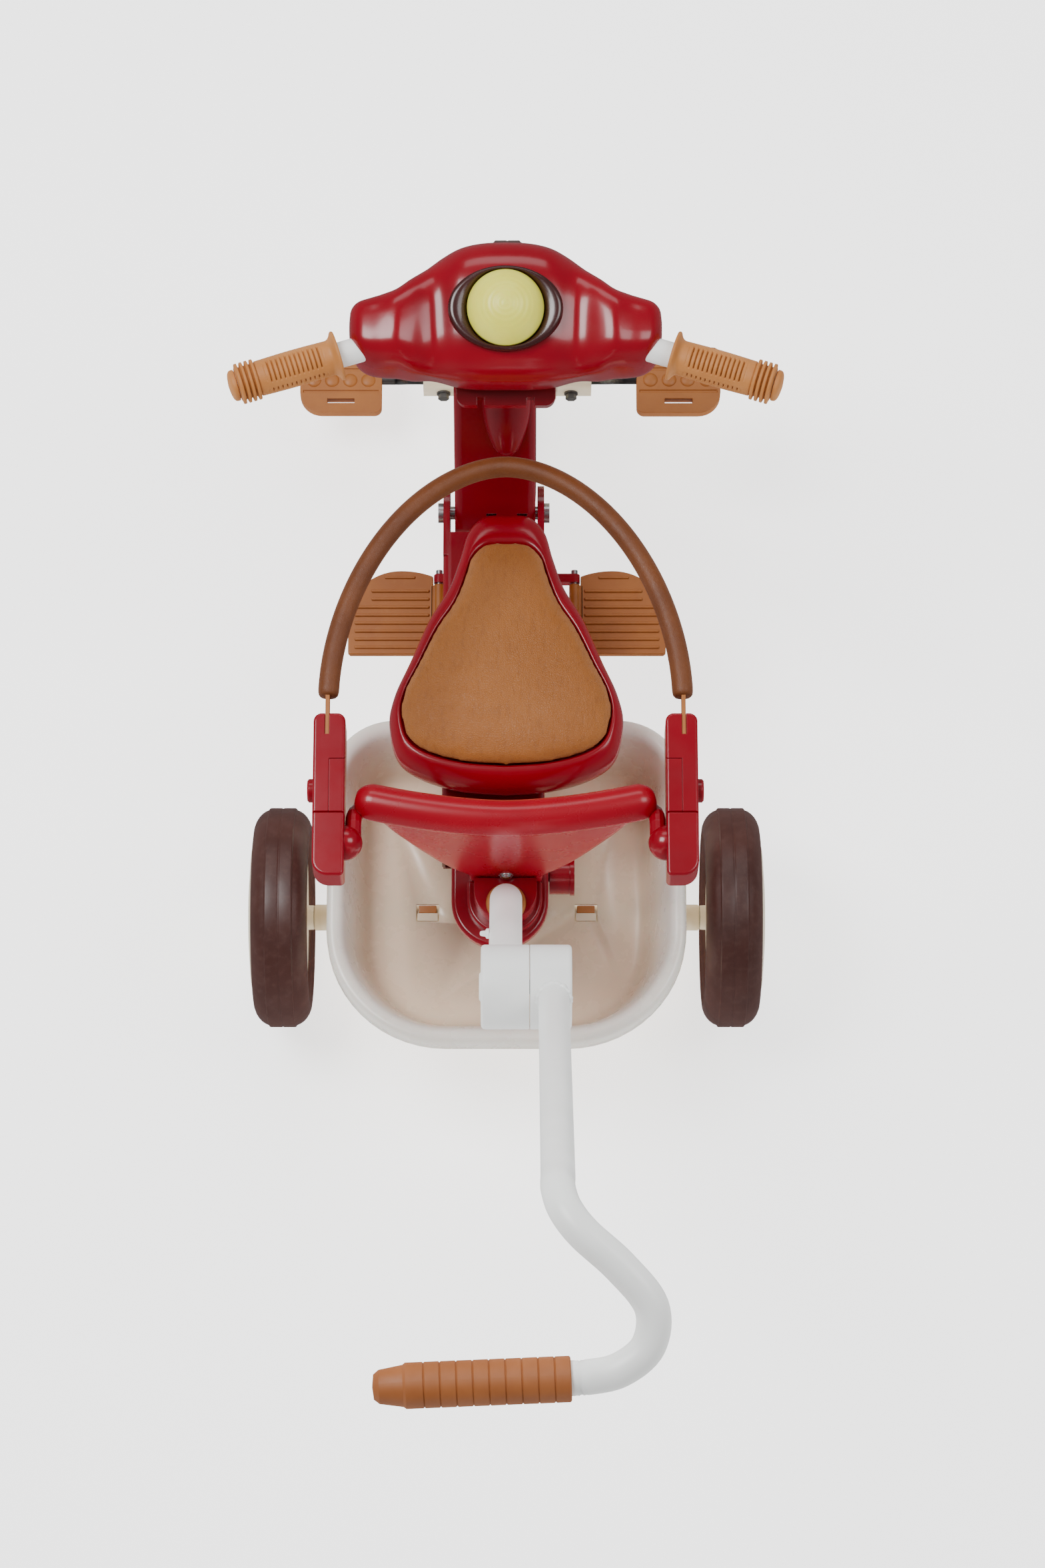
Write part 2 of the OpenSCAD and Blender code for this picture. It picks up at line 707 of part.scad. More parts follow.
module down_tube() {
  w = tube_right - tube_left;
  color(red) from_axle() difference() {
    union() {
      translate([0, fold_y, fold_z]) rotate([tube_dir - 90, 0, 0])
        translate([tube_left, -tube_depth / 2, 0]) linear_extrude(150)
          round_rect(w, tube_depth, 7);
      along_x(tube_left, tube_right, knuckle_r, fold_y, fold_z);
      on_head_axis() translate([0, 0, 184]) cylinder(h = 78, r = 25);
      hull() {
        on_head_axis() translate([0, -14, 246]) sphere(19, $fn = 32);
        on_head_axis() translate([0, -10, 205]) sphere(16, $fn = 32);
        translate([0, fold_y + 33, fold_z + 97]) sphere(5, $fn = 24);
      }
    }
    on_head_axis() translate([0, 0, 100]) cylinder(h = 230, r = 18);
    translate([0, fold_y, fold_z]) rotate([tube_dir - 90, 0, 0])
      box([tube_left + 4, -tube_depth / 2 + 5, 30], [tube_right - 4, 40, 104]);
    along_x(-60, 60, pin_r + run, fold_y, fold_z);
    for (x = [-14, 14]) translate([x, fold_y, fold_z]) {
      along_x(-4.6, 4.6, 11);
      rotate([tube_dir - 90, 0, 0]) box([-4.6, -30, -8], [4.6, 0, 18]);
    }
  }
}

module head_tube() {
  color(steel) from_axle() on_head_axis() translate([0, 0, 172]) difference() {
    cylinder(h = 128, r = 18);
    translate([0, 0, -1]) cylinder(h = 130, r = 15);
  }
}

module head_bearings() {
  color("#3a3a3d") from_axle() on_head_axis() for (t = [172, 288]) translate([0, 0, t])
    difference() {
      cylinder(h = 12, r = 15);
      translate([0, 0, -1]) cylinder(h = 14, r = 10 + run);
    }
}

// ---------- steering ----------

module steering_stem() {
  color(steel) from_axle() on_head_axis() translate([0, 0, 150]) cylinder(h = 232, r = 10);
}

// Where the bar's straight middle is
bar_y = 396;

module bar_clamp() {
  color(steel) from_axle() difference() {
    union() {
      along_x(-24, 24, 14, bar_y, bar_z);
      box([-13, 380, 478], [13, 403, bar_z]);
    }
    along_x(-30, 30, bar_d / 2, bar_y, bar_z);
    on_head_axis() translate([0, 0, 300]) cylinder(h = 85, r = 10);
  }
}

// Crown, two blades and the bosses round the front axle
module fork() {
  boss_y = -head_trail * cos(head_angle);
  boss_z = head_trail * sin(head_angle);
  color(ivory) from_axle() difference() {
    on_head_axis() {
      difference() {
        union() {
          translate([-46, -16, 141]) cube([92, 34, 26]);
          for (x = [-46, 34]) translate([x, 0, 0]) {
            rotate([90, 0, 90]) linear_extrude(12) polygon([
              [-16, 150], [18, 150], [boss_y + 17, boss_z], [boss_y - 17, boss_z]
            ]);
            along_x(0, 12, 19, boss_y, boss_z);
          }
        }
        translate([0, 0, 100]) cylinder(h = 90, r = 10);
        along_x(-50, 50, crank_rod_r + 0.5, boss_y, boss_z);
      }
    }
  }
}

module axle_blocks() {
  color(ivory) from_axle() translate([0, wheelbase, front_axle_z]) both_sides() difference() {
    translate([46, -14, -14]) rotate([90, 0, 90]) linear_extrude(33) round_rect(30, 30, 8);
    along_x(40, 90, crank_rod_r + run);
    translate([60, 0, 0]) rotate([90, 0, 0]) cylinder(h = 30, r = 2.5);
  }
}

// Bolts in the rear faces of the axle blocks
module block_bolts() {
  color("#1c1c1e") from_axle() translate([0, wheelbase - 14, front_axle_z]) both_sides()
    translate([60, 0, 0]) rotate([90, 0, 0]) {
      translate([0, 0, -8]) cylinder(h = 9, r = 2.5);
      cylinder(h = 1.5, r = 6.5);
      translate([0, 0, 1.5]) cylinder(h = 5, r = 5.2, $fn = 6);
    }
}

// Where a swept end of the bar starts, and how far out it runs
bend_x = 50;

// The right end of the bar as a local Z axis
module on_bar_end() {
  translate([bend_x, bar_y, bar_z]) rotate([0, 90, -grip_sweep]) children();
}

module handlebar() {
  color("#f2f3f0") from_axle() {
    along_x(-bend_x - 2, bend_x + 2, bar_d / 2, bar_y, bar_z);
    both_sides() on_bar_end() cylinder(h = 189, r = bar_d / 2 - 0.02);
  }
}

// A rubber grip: flange, barrel, four rings and a round end
module grip() {
  start = (grip_x - bend_x) / cos(grip_sweep);
  r = 15.7;
  rings = [for (k = [0 : 3]) 74 + 4.4 * k];
  color(tan_brown) from_axle() on_bar_end() translate([0, 0, start]) rotate_extrude() polygon(
    concat(
      [[bar_d / 2, 0], [21.5, 0], [21.5, 2.5], [18, 5], [r - 0.6, 9], [r, 40], [r, 72]],
      [for (z = rings) each [[r + 2, z + 0.8], [r + 2, z + 2.6], [r - 0.8, z + 3.4]]],
      [[r - 1.5, 92], [12.5, 94.5], [7, grip_len], [0, grip_len], [0, 94], [bar_d / 2, 94]]
    ));
}
module grip_left() { mirror([1, 0, 0]) grip(); }
module grip_right() { grip(); }

// Cowl stations on the right: X, then the section's middle (Y, Z) and half sizes (Y, Z)
cowl_stations = [
  [0, 420, 510, 53, 58], [30, 417, 511, 51, 57], [52, 410, 513, 45, 51], [68, 402, 515, 37, 44],
  [84, 395, 518, 32, 39], [100, 388, 524, 29, 38], [116, 384, 528, 26, 35],
  [126, 383, 529, 21, 28], [131, 382, 530, 12, 17]
];
function cowl_ring(s, side, inset) = [
  for (a = [0 : 15 : 345]) let (c = cos(a), d = sin(a))
    [side * s[0], s[1] + (s[3] - inset) * sign(c) * pow(abs(c), 0.8),
     s[2] + (s[4] - inset) * sign(d) * pow(abs(d), 0.8)]
];
function cowl_rings(last, inset) = concat(
  [for (i = [last : -1 : 1]) cowl_ring(cowl_stations[i], -1, inset)],
  [for (i = [0 : last]) cowl_ring(cowl_stations[i], 1, inset)]
);

module on_horn_axis() {
  translate([0, horn_y, horn_z]) rotate([horn_tilt, 0, 0]) children();
}

module cowl() {
  color(red) from_axle() difference() {
    loft(cowl_rings(8, 0));
    loft(cowl_rings(7, 4));
    box([-38, 374, 440], [38, 450, 484]);
    on_horn_axis() translate([0, 0, -30]) cylinder(h = 60, r = 35);
    both_sides() on_bar_end() cylinder(h = 110, r = bar_d / 2 + 0.6);
  }
}

// Collar under the cowl, round the top of the steering stem
module cowl_neck() {
  color(red) from_axle() on_head_axis() difference() {
    translate([-43, -38, 304]) linear_extrude(48) round_rect(86, 70, 9);
    translate([0, 0, 300]) cylinder(h = 60, r = 12);
    translate([-36, -10, 303]) cube([72, 34, 42]);
    for (x = [-25, 18]) translate([x, -40, 300]) cube([6, 9, 60]);
  }
}

// Oval surround of the horn button
module horn_ring() {
  color("#4b2828") from_axle() on_horn_axis() difference() {
    translate([0, 0, -7]) linear_extrude(13)
      polygon([for (a = [0 : 7.5 : 352.5]) [47.5 * cos(a), 35.2 * sin(a)]]);
    translate([0, 0, -20]) cylinder(h = 60, r = horn_r + 0.5);
  }
}

module horn_button() {
  dome_h = 24;
  sphere_r = (horn_r * horn_r + dome_h * dome_h) / (2 * dome_h);
  edge = asin(horn_r / sphere_r);
  color("#e6e58c") from_axle() on_horn_axis() rotate_extrude() polygon(concat(
    [[0, -2], [horn_r, -2], [horn_r, 6]],
    [for (k = [1 : 8]) let (a = edge * (1 - k / 8))
      [sphere_r * sin(a), 6 + dome_h - sphere_r + sphere_r * cos(a)]]
  ));
}

// ---------- push bar ----------

push_path = spline([
  [0, bush_y, 303], [0, bush_y - 0.3, 308], [0, bush_y - 5, 317], [0, bush_y - 19, 335],
  [0, bush_y - 43, 361], [0, bush_y - 70, 392], [0, bush_y - 98, 425]
], 3);
// Where the spring catch's button sits on the bent tube
catch_y = bush_y - 48;
catch_z = 367;

module push_tube_lower() {
  color("#f2f3f0") from_axle() {
    translate([0, bush_y, push_tube_end_z]) cylinder(h = 304.2 - push_tube_end_z, r = push_tube_r);
    translate([0, bush_y, push_tube_end_z - 8]) {
      cylinder(h = 8, r = 12);
      translate([link_x, -6, 0]) cube([-link_x, 12, 8]);
      translate([link_x, 0, 0]) cylinder(h = 8, r = 6);
      translate([link_x, 0, -14]) cylinder(h = 14, r = small_pin_r);
    }
    difference() {
      union() {
        bent_tube(push_path, push_tube_r - 0.2);
        along_x(-20, 20, joint_r, push_joint_y, push_joint_z);
      }
      difference() {
        along_x(-16, 21, joint_r - 4, push_joint_y, push_joint_z);
        along_x(-4, 30, 12, push_joint_y, push_joint_z);
        along_x(-4, 2, joint_r, push_joint_y, push_joint_z);
      }
      along_x(-10, 30, pin_r, push_joint_y, push_joint_z);
      along_x(-30, -15, 12.3, push_joint_y, push_joint_z);
      along_x(-30, -8, 3.6, catch_y, catch_z);
    }
  }
}

// The rod inside the beam that carries the push bar's steering forwards
module steer_link() {
  z = 220;
  color(steel) from_axle() {
    difference() {
      translate([link_x, bush_y, z - 3]) cylinder(h = 6, r = 11.5);
      translate([link_x, bush_y, z - 4]) cylinder(h = 8, r = 8);
    }
    translate([link_x, bush_y + 10, z]) rotate([-90, 0, 0]) cylinder(h = 330, r = 3);
    translate([link_x, bush_y + 342, z]) sphere(6);
  }
}

module push_joint_pin() {
  color(steel) from_axle() along_x(-6, 45, pin_r, push_joint_y, push_joint_z);
}

module joint_button() {
  color("#f2f3f0") from_axle() {
    along_x(-20.6, -15.5, 12, push_joint_y, push_joint_z);
    translate([-20.6, push_joint_y, push_joint_z]) rotate([0, -90, 0])
      cylinder(h = 1, r1 = 12, r2 = 10.5);
  }
}

// Push button of the tube's spring catch
module tube_button() {
  color("#f7f7f5") from_axle() {
    along_x(-22, -push_tube_r - 0.2, 3.2, catch_y, catch_z);
  }
}

upper_path = spline([
  [40, -413, 845.5], [40, -427, 868], [45, -445, 882], [58, -463, 885], [84, -486, 880],
  [106, -512, 869], [104, -538, 857], [84, -554, 849.5], [60, -559, 847], [40, -559.5, 846]
], 3);
// Distance along the upper tube from the joint to where its bends start
upper_len = norm([-413 - push_joint_y, 845.5 - push_joint_z]) + 2;

module push_tube_upper() {
  color("#f2f3f0") from_axle() {
    difference() {
      union() {
        along_x(20.5, 55, joint_r, push_joint_y, push_joint_z);
        translate([40, push_joint_y, push_joint_z]) rotate([90 - push_rise, 0, 0])
          cylinder(h = upper_len, r = push_upper_d / 2);
      }
      difference() {
        along_x(20, 51, joint_r - 4, push_joint_y, push_joint_z);
        along_x(20, 55, 12, push_joint_y, push_joint_z);
      }
      along_x(20, 46, pin_r + run, push_joint_y, push_joint_z);
    }
    bent_tube(upper_path, push_upper_d / 2 - 0.05, [0, 0.5, 0.85]);
  }
}

// Ringed rubber grip on the end of the push bar
module push_grip() {
  r = push_grip_r;
  rings = [for (k = [0 : 8]) 11.5 + 11.7 * k];
  color(tan_brown) from_axle() translate([49, push_grip_y, 846])
    rotate([0, -90, push_grip_tilt])
    rotate_extrude() polygon(concat(
      [[0, 9], [0, 0], [r - 1, 0], [r, 1]],
      [for (z = rings) each [[r, z - 0.8], [r - 0.9, z], [r, z + 0.8]]],
      [[r, push_grip_body], [r - 1.5, 120], [13, 132], [12.2, 137], [9, 141], [0, 142]]
    ));
}

module fold_knob() {
  color(red) from_axle() {
    along_x(25, 39, 5, -3, 240);
    along_x(38, 56, 16, -3, 240);
    along_x(56, 60, 17, -3, 240);
  }
}

rear_beam();
fold_pin();
fold_springs();
rear_housing();
housing_cover();
steer_bush();
rear_axle();
axle_tube();
basket();
basket_clips();
seat_mount();
seat_base();
seat_cushion();
backrest();
backrest_bolt();
guard_arms();
rear_brackets();
hinge_pins();
footrest_lugs();
rear_tyre_left();
rear_tyre_right();
rear_hub_left();
rear_hub_right();
hub_cap_left();
hub_cap_right();
fold_knob();
steer_link();
down_tube();
head_tube();
head_bearings();
steering_stem();
bar_clamp();
fork();
axle_blocks();
block_bolts();
handlebar();
cowl();
cowl_neck();
horn_ring();
horn_button();
grip_left();
grip_right();
front_tyre();
front_hub();
crank();
pedal_left();
pedal_right();
footrest_left();
footrest_right();
guard_sleeve();
guard_strap();
guard_brackets();
guard_button_left();
guard_button_right();
push_tube_lower();
push_joint_pin();
joint_button();
tube_button();
push_tube_upper();
push_grip();
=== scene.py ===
import json
import math
import bpy
import bmesh
from mathutils import Matrix, Vector


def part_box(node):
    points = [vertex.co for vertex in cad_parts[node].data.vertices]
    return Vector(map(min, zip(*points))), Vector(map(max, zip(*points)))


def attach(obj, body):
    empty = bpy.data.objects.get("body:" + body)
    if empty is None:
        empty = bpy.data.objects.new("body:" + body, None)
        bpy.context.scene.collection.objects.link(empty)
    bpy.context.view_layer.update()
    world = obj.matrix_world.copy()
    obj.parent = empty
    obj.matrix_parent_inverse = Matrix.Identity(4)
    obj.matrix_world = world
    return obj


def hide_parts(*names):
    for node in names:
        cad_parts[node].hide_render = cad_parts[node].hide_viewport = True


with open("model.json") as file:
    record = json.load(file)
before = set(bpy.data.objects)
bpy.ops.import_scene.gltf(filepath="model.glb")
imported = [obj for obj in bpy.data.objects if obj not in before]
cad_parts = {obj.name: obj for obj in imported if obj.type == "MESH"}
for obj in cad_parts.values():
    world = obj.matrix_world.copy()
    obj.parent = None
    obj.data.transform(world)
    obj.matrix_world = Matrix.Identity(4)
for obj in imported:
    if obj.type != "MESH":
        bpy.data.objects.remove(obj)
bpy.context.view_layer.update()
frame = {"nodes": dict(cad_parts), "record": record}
NODES = frame["nodes"]
lo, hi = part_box("rear_axle")
RA = (lo.y + hi.y) / 2 * 1000  # rear axle's Y in mm; pieces below count Y from it
SIDES = ((1, "right"), (-1, "left"))

# Driving dimensions in mm; Y counts from the rear axle and Z from the floor.
WHEELBASE = 520
FRONT_R, FRONT_BEAD, FRONT_W = 130, 102, 54  # front tyre: radius, inner radius, width
REAR_R, REAR_BEAD, REAR_W, REAR_X = 100, 76, 51, 204
CRANK_R, CRANK_ANGLE = 60, math.radians(113)
PEDAL_W, PEDAL_D, PEDAL_X = 78, 66, 120  # width, depth and inner end of a pedal
BAR_Y, BAR_Z, BAR_BEND = 396, 536, 50  # handlebar, and where its ends sweep back
SWEEP = math.radians(17.5)
GRIP_X = 141  # inner end of the grips
SEAT_Z, SEAT_MID = 257, 160  # saddle's underside, and its middle's Y
BACK_FOOT, BACK_TOP, BACK_Z = 268, 424, 430  # backrest's foot and top, and its bar's axis
BACK_HALF, BACK_BEND = 116, 16  # half width, and how far its ends bend forward
GUARD_X, GUARD_Y, GUARD_Z, GUARD_REACH = 148.5, 94, 440, 211
HINGE_Y, HINGE_Z, HINGE_R = 15, 430, 28.5  # guard's hinge and its plates' round ends
TUB_FLOOR, TUB_RIM = 115, 187
CLIP_X = 72  # slots in the tub's floor for its clips
POST_Y = -44  # axis in which the push bar turns
LOWER_R, UPPER_R, UPPER_X = 14.0, 12.7, 40  # push bar's tubes, and the upper one's X
JOINT_Y, JOINT_Z, JOINT_R = -161, 447, 35.0  # push bar's folding joint
RISE = math.radians(57.7)  # slope of the push bar's upper tube
FOOTREST_Z = 177


# -------- materials
def linear(r, g, b):
    return tuple(((c / 255) / 12.92 if c <= 10 else ((c / 255 + 0.055) / 1.055) ** 2.4)
                 for c in (r, g, b)) + (1.0,)


class Mat:
    """A procedural material: colour variation, roughness variation, bump and soft edges."""

    def __init__(self, name, rgb, rough=0.4, metal=0.0):
        self.m = bpy.data.materials.new(name)
        self.m.use_nodes = True
        self.t = self.m.node_tree
        self.bsdf = self.t.nodes["Principled BSDF"]
        self.rgb, self.rough = rgb, rough
        self.set("Metallic", metal)
        self.coord = self.t.nodes.new("ShaderNodeTexCoord").outputs["Object"]
        self.bumps = []
        self.colour = None
        self.set("Roughness", rough)

    def set(self, socket, value):
        self.bsdf.inputs[socket].default_value = value
        return self

    def new(self, kind, **props):
        n = self.t.nodes.new(kind)
        for k, v in props.items():
            setattr(n, k, v)
        return n

    def link(self, a, b):
        self.t.links.new(a, b)

    def mapped(self, scale):
        n = self.new("ShaderNodeMapping")
        n.inputs["Scale"].default_value = scale
        self.link(self.coord, n.inputs["Vector"])
        return n.outputs["Vector"]

    def noise(self, scale, detail=3.0, rough=0.55, stretch=None):
        n = self.new("ShaderNodeTexNoise")
        n.inputs["Scale"].default_value = scale
        n.inputs["Detail"].default_value = detail
        n.inputs["Roughness"].default_value = rough
        self.link(self.mapped(stretch) if stretch else self.coord, n.inputs["Vector"])
        return n.outputs["Fac"]

    def cells(self, scale):
        """Distance to the edges of a grain's cells."""
        n = self.new("ShaderNodeTexVoronoi", feature="DISTANCE_TO_EDGE")
        n.inputs["Scale"].default_value = scale
        self.link(self.coord, n.inputs["Vector"])
        return n.outputs["Distance"]

    def span(self, fac, a, b, lo=0.0, hi=1.0):
        """Takes a value from the range a to b into the range lo to hi."""
        n = self.new("ShaderNodeMapRange", clamp=True)
        for i, v in enumerate((a, b, lo, hi)):
            n.inputs[i + 1].default_value = v
        self.link(fac, n.inputs[0])
        return n.outputs[0]

    def shade(self, fac, rgb):
        """Another colour where fac is high."""
        n = self.new("ShaderNodeMix", data_type="RGBA")
        self.link(fac, n.inputs[0])
        if self.colour:
            self.link(self.colour, n.inputs[6])
        else:
            n.inputs[6].default_value = linear(*self.rgb)
        n.inputs[7].default_value = linear(*rgb)
        self.colour = n.outputs[2]
        return self

    def tones(self, other, scale=18.0, lo=0.35, hi=0.65):
        """Base colour that drifts slowly between two tones."""
        return self.shade(self.span(self.noise(scale), lo, hi), other)

    def dust(self, rgb, scale=60.0, amount=0.35, lo=0.55, hi=0.8):
        """Fine cloudy marks of another colour."""
        return self.shade(self.span(self.noise(scale, 6.0, 0.65), lo, hi, 0.0, amount), rgb)

    def edge(self, rgb, amount=0.5, lo=0.52, hi=0.6):
        """Wear where the surface is convex."""
        point = self.new("ShaderNodeNewGeometry").outputs["Pointiness"]
        return self.shade(self.span(point, lo, hi, 0.0, amount), rgb)

    def gloss(self, lo, hi, scale=40.0, stretch=None):
        """Roughness that wanders between two values."""
        self.link(self.span(self.noise(scale, 4.0, 0.6, stretch), 0.3, 0.7, lo, hi),
                  self.bsdf.inputs["Roughness"])
        return self

    def bump(self, height, distance, strength=1.0):
        """Relief; the distance is in mm."""
        self.bumps.append((height, distance, strength))
        return self

    def done(self, soft_edge=0.0):
        """Wires the material up; soft_edge is the radius in mm to which edges look rounded."""
        self.link(self.colour, self.bsdf.inputs["Base Color"])
        last = None
        if soft_edge:
            last = self.new("ShaderNodeBevel", samples=6)
            last.inputs["Radius"].default_value = soft_edge / 1000
        for height, distance, strength in self.bumps:
            n = self.new("ShaderNodeBump")
            n.inputs["Distance"].default_value = distance / 1000
            n.inputs["Strength"].default_value = strength
            self.link(height, n.inputs["Height"])
            if last:
                self.link(last.outputs[0], n.inputs["Normal"])
            last = n
        if last:
            self.link(last.outputs[0], self.bsdf.inputs["Normal"])
        return self.m


def red_gloss(name, rgb=(138, 1, 24), edge=1.0, coat=0.2, rough=(0.2, 0.27)):
    """Glossy red: soft mottling, a thin clear coat and faint orange peel."""
    m = Mat(name, rgb).tones([0.94 * c for c in rgb], 14.0)
    m.set("Coat Weight", coat).set("Coat Roughness", 0.1).set("Specular IOR Level", 0.4)
    m.dust([0.85 * c for c in rgb], 60.0, 0.14, 0.5, 0.85)
    m.gloss(*rough, 30.0)
    m.bump(m.noise(520.0, 2.0), 0.012, 0.5)
    m.bump(m.noise(12.0, 1.0), 0.2, 0.1)
    return m.done(edge)


def grained(name, rgb, patch, marks, amount, gloss, grain):
    """Plastic with a fine leather-like grain."""
    m = Mat(name, rgb).tones(patch, 30.0)
    m.dust(marks, *amount).gloss(*gloss, 80.0)
    m.bump(m.cells(grain), 0.04, 0.5)
    return m


def rubber(name, rgb, patch, marks):
    m = Mat(name, rgb).tones(patch, 34.0)
    m.dust(marks, 120.0, 0.22).gloss(0.5, 0.64, 90.0)
    m.bump(m.noise(900.0, 3.0), 0.04, 0.6)
    return m.done(0.4)


def make_materials():
    """Every look, by the CAD's material slot or by the visual piece that has its own."""
    out = {}
    out["red_plastic"] = red_gloss("red_plastic_look")
    out["red_metal"] = red_gloss("red_metal_look", (130, 2, 24), 0.9)
    # a brighter copy of the red for the backrest: the extra brightness is painted light, its satin
    # gloss is its own
    out["red_back"] = red_gloss("red_back_look", (156, 3, 28), 0.8, 0.1, (0.26, 0.29))
    out["red_tube"] = red_gloss("red_tube_look", (142, 2, 26), 0.6, 0.2, (0.19, 0.26))

    m = Mat("ivory_look", (236, 226, 203)).tones((228, 216, 190), 20.0)
    m.dust((196, 180, 150), 70.0, 0.18).gloss(0.26, 0.38, 60.0)
    m.set("Subsurface Weight", 0.06).set("Subsurface Scale", 0.004)
    m.bump(m.noise(600.0, 2.0), 0.02, 0.5)
    out["ivory_plastic"] = m.done(0.8)

    m = Mat("ivory_paint_look", (233, 220, 192)).tones((224, 208, 176), 26.0)
    m.gloss(0.25, 0.4, 60.0).bump(m.noise(700.0, 2.0), 0.03, 0.6)
    out["ivory_metal"] = m.done(0.6)

    m = Mat("basket_look", (246, 242, 233)).tones((242, 236, 225), 9.0)
    # painted shade and bounced light: the colour grows warmer and darker from the rim down to the
    # deep floor
    place = m.new("ShaderNodeSeparateXYZ")
    m.link(m.coord, place.inputs[0])
    shade_full_z, white = (TUB_FLOOR + 3) / 1000, (TUB_RIM - 15) / 1000
    m.shade(m.span(place.outputs["Z"], shade_full_z, white, 0.85, 0.0), (226, 203, 172))
    m.dust((196, 178, 148), 120.0, 0.10, 0.62, 0.8)
    m.set("Subsurface Weight", 0.12).set("Subsurface Scale", 0.006)
    m.gloss(0.2, 0.34, 30.0)
    m.bump(m.noise(900.0, 2.0), 0.02, 0.5).bump(m.noise(30.0, 2.0), 0.3, 0.2)
    out["basket_plastic"] = m.done(0.8)

    m = grained("tan_plastic_look", (166, 100, 40), (157, 92, 34), (128, 78, 34),
                (110.0, 0.2), (0.42, 0.56), 1500.0)
    out["tan_plastic"] = m.done(0.7)
    m = grained("footrest_look", (152, 88, 26), (143, 80, 21), (176, 126, 70),
                (130.0, 0.16), (0.4, 0.55), 1400.0)
    out["footrest_plastic"] = m.done(0.6)

    m = Mat("leatherette_look", (164, 102, 46)).tones((157, 96, 42), 12.0)
    grain = m.cells(560.0)
    m.shade(m.span(grain, 0.0, 0.09, 0.3, 0.0), (116, 68, 30))
    # long creases: their relief, and a darker colour in their valleys that is painted shade
    crease = m.noise(70.0, 6.0, 0.62, (3.2, 1.0, 1.0))
    m.shade(m.span(crease, 0.36, 0.47, 0.26, 0.0), (126, 76, 34))
    m.set("Sheen Weight", 0.04).set("Sheen Roughness", 0.4).set("Specular IOR Level", 0.34)
    m.gloss(0.38, 0.5, 60.0)
    m.bump(m.span(grain, 0.0, 0.25), 0.2, 0.9).bump(m.noise(240.0, 5.0), 0.12, 0.6)
    m.bump(m.span(crease, 0.32, 0.6), 0.32, 0.8)
    out["tan_leatherette"] = m.done()

    m = Mat("sleeve_look", (110, 60, 26)).tones((99, 52, 22), 22.0)
    grain = m.cells(760.0)
    m.shade(m.span(grain, 0.0, 0.07, 0.3, 0.0), (72, 38, 17))
    m.dust((130, 80, 42), 90.0, 0.2)
    m.set("Sheen Weight", 0.04).set("Specular IOR Level", 0.34).gloss(0.38, 0.5, 60.0)
    m.bump(m.span(grain, 0.0, 0.25), 0.1, 0.8).bump(m.noise(80.0, 4.0), 0.3, 0.4)
    out["guard_leatherette"] = m.done()

    out["tan_rubber"] = rubber("tan_rubber_look", (186, 122, 62), (177, 112, 53), (144, 90, 46))
    out["push_rubber"] = rubber("push_grip_look", (154, 90, 44), (144, 82, 38), (134, 80, 44))

    m = Mat("tyre_look", (74, 42, 36)).tones((66, 36, 31), 24.0)
    m.dust((112, 82, 74), 140.0, 0.22, 0.5, 0.8).gloss(0.34, 0.5, 70.0)
    m.bump(m.noise(700.0, 4.0), 0.05, 0.6)
    m.bump(m.noise(60.0, 3.0), 0.2, 0.3)
    out["brown_tyre"] = m.done(0.5)

    m = Mat("ring_look", (56, 20, 19)).tones((48, 16, 15), 30.0)
    m.gloss(0.2, 0.32, 60.0).bump(m.noise(500.0, 2.0), 0.03, 0.5)
    m.set("Coat Weight", 0.2)
    out["brown_plastic"] = m.done(0.8)

    m = Mat("dome_look", (232, 229, 92)).tones((226, 221, 78), 30.0)
    m.set("Subsurface Weight", 0.2).set("Subsurface Scale", 0.01)
    m.dust((196, 190, 84), 160.0, 0.14).gloss(0.32, 0.46, 70.0)
    m.bump(m.noise(800.0, 3.0), 0.03, 0.5)
    out["yellow_rubber"] = m.done()

    m = Mat("white_coat_look", (250, 251, 249)).tones((246, 248, 245), 14.0)
    m.dust((190, 190, 184), 150.0, 0.12, 0.6, 0.85).gloss(0.28, 0.42, 50.0)
    m.bump(m.noise(620.0, 3.0), 0.06, 0.7)
    out["white_tube"] = m.done(0.6)

    m = Mat("white_plastic_look", (250, 251, 248)).tones((246, 247, 243), 20.0)
    m.gloss(0.26, 0.4, 50.0).bump(m.noise(700.0, 2.0), 0.03, 0.5)
    out["white_plastic"] = m.done(0.8)

    m = Mat("black_plastic_look", (38, 37, 38)).tones((30, 29, 30), 30.0)
    m.gloss(0.4, 0.6, 70.0).bump(m.noise(900.0, 2.0), 0.03, 0.5)
    out["black_plastic"] = m.done(0.6)

    m = Mat("black_metal_look", (26, 25, 26)).tones((20, 19, 20), 30.0)
    m.edge((120, 118, 116), 0.35, 0.54, 0.62).gloss(0.25, 0.42, 70.0)
    m.bump(m.noise(600.0, 2.0), 0.03, 0.6)
    out["black_metal"] = m.done(0.5)

    m = Mat("steel_look", (186, 188, 190), 0.3, 1.0).tones((168, 170, 172), 60.0)
    m.gloss(0.22, 0.42, 240.0, (1.0, 12.0, 12.0))
    m.bump(m.noise(500.0, 3.0, 0.5, (1.0, 10.0, 10.0)), 0.02, 0.4)
    out["steel"] = out["spring_steel"] = m.done(0.3)

    m = Mat("chrome_look", (214, 214, 214), 0.1, 1.0).tones((200, 200, 202), 60.0)
    m.gloss(0.06, 0.16, 200.0).bump(m.noise(900.0, 2.0), 0.01, 0.4)
    out["chrome"] = m.done(0.3)
    return out


MAT = make_materials()
SLOT = {p["node"]: p["material_slot"] for p in frame["record"]["subparts"]}


# -------- mesh helpers
def V(x, y, z):
    """A point given in mm from the rear axle's Y, in metres in the row frame."""
    return Vector((x / 1000, (y + RA) / 1000, z / 1000))


def link(name, mesh):
    o = bpy.data.objects.new(name, mesh)
    bpy.context.scene.collection.objects.link(o)
    return o


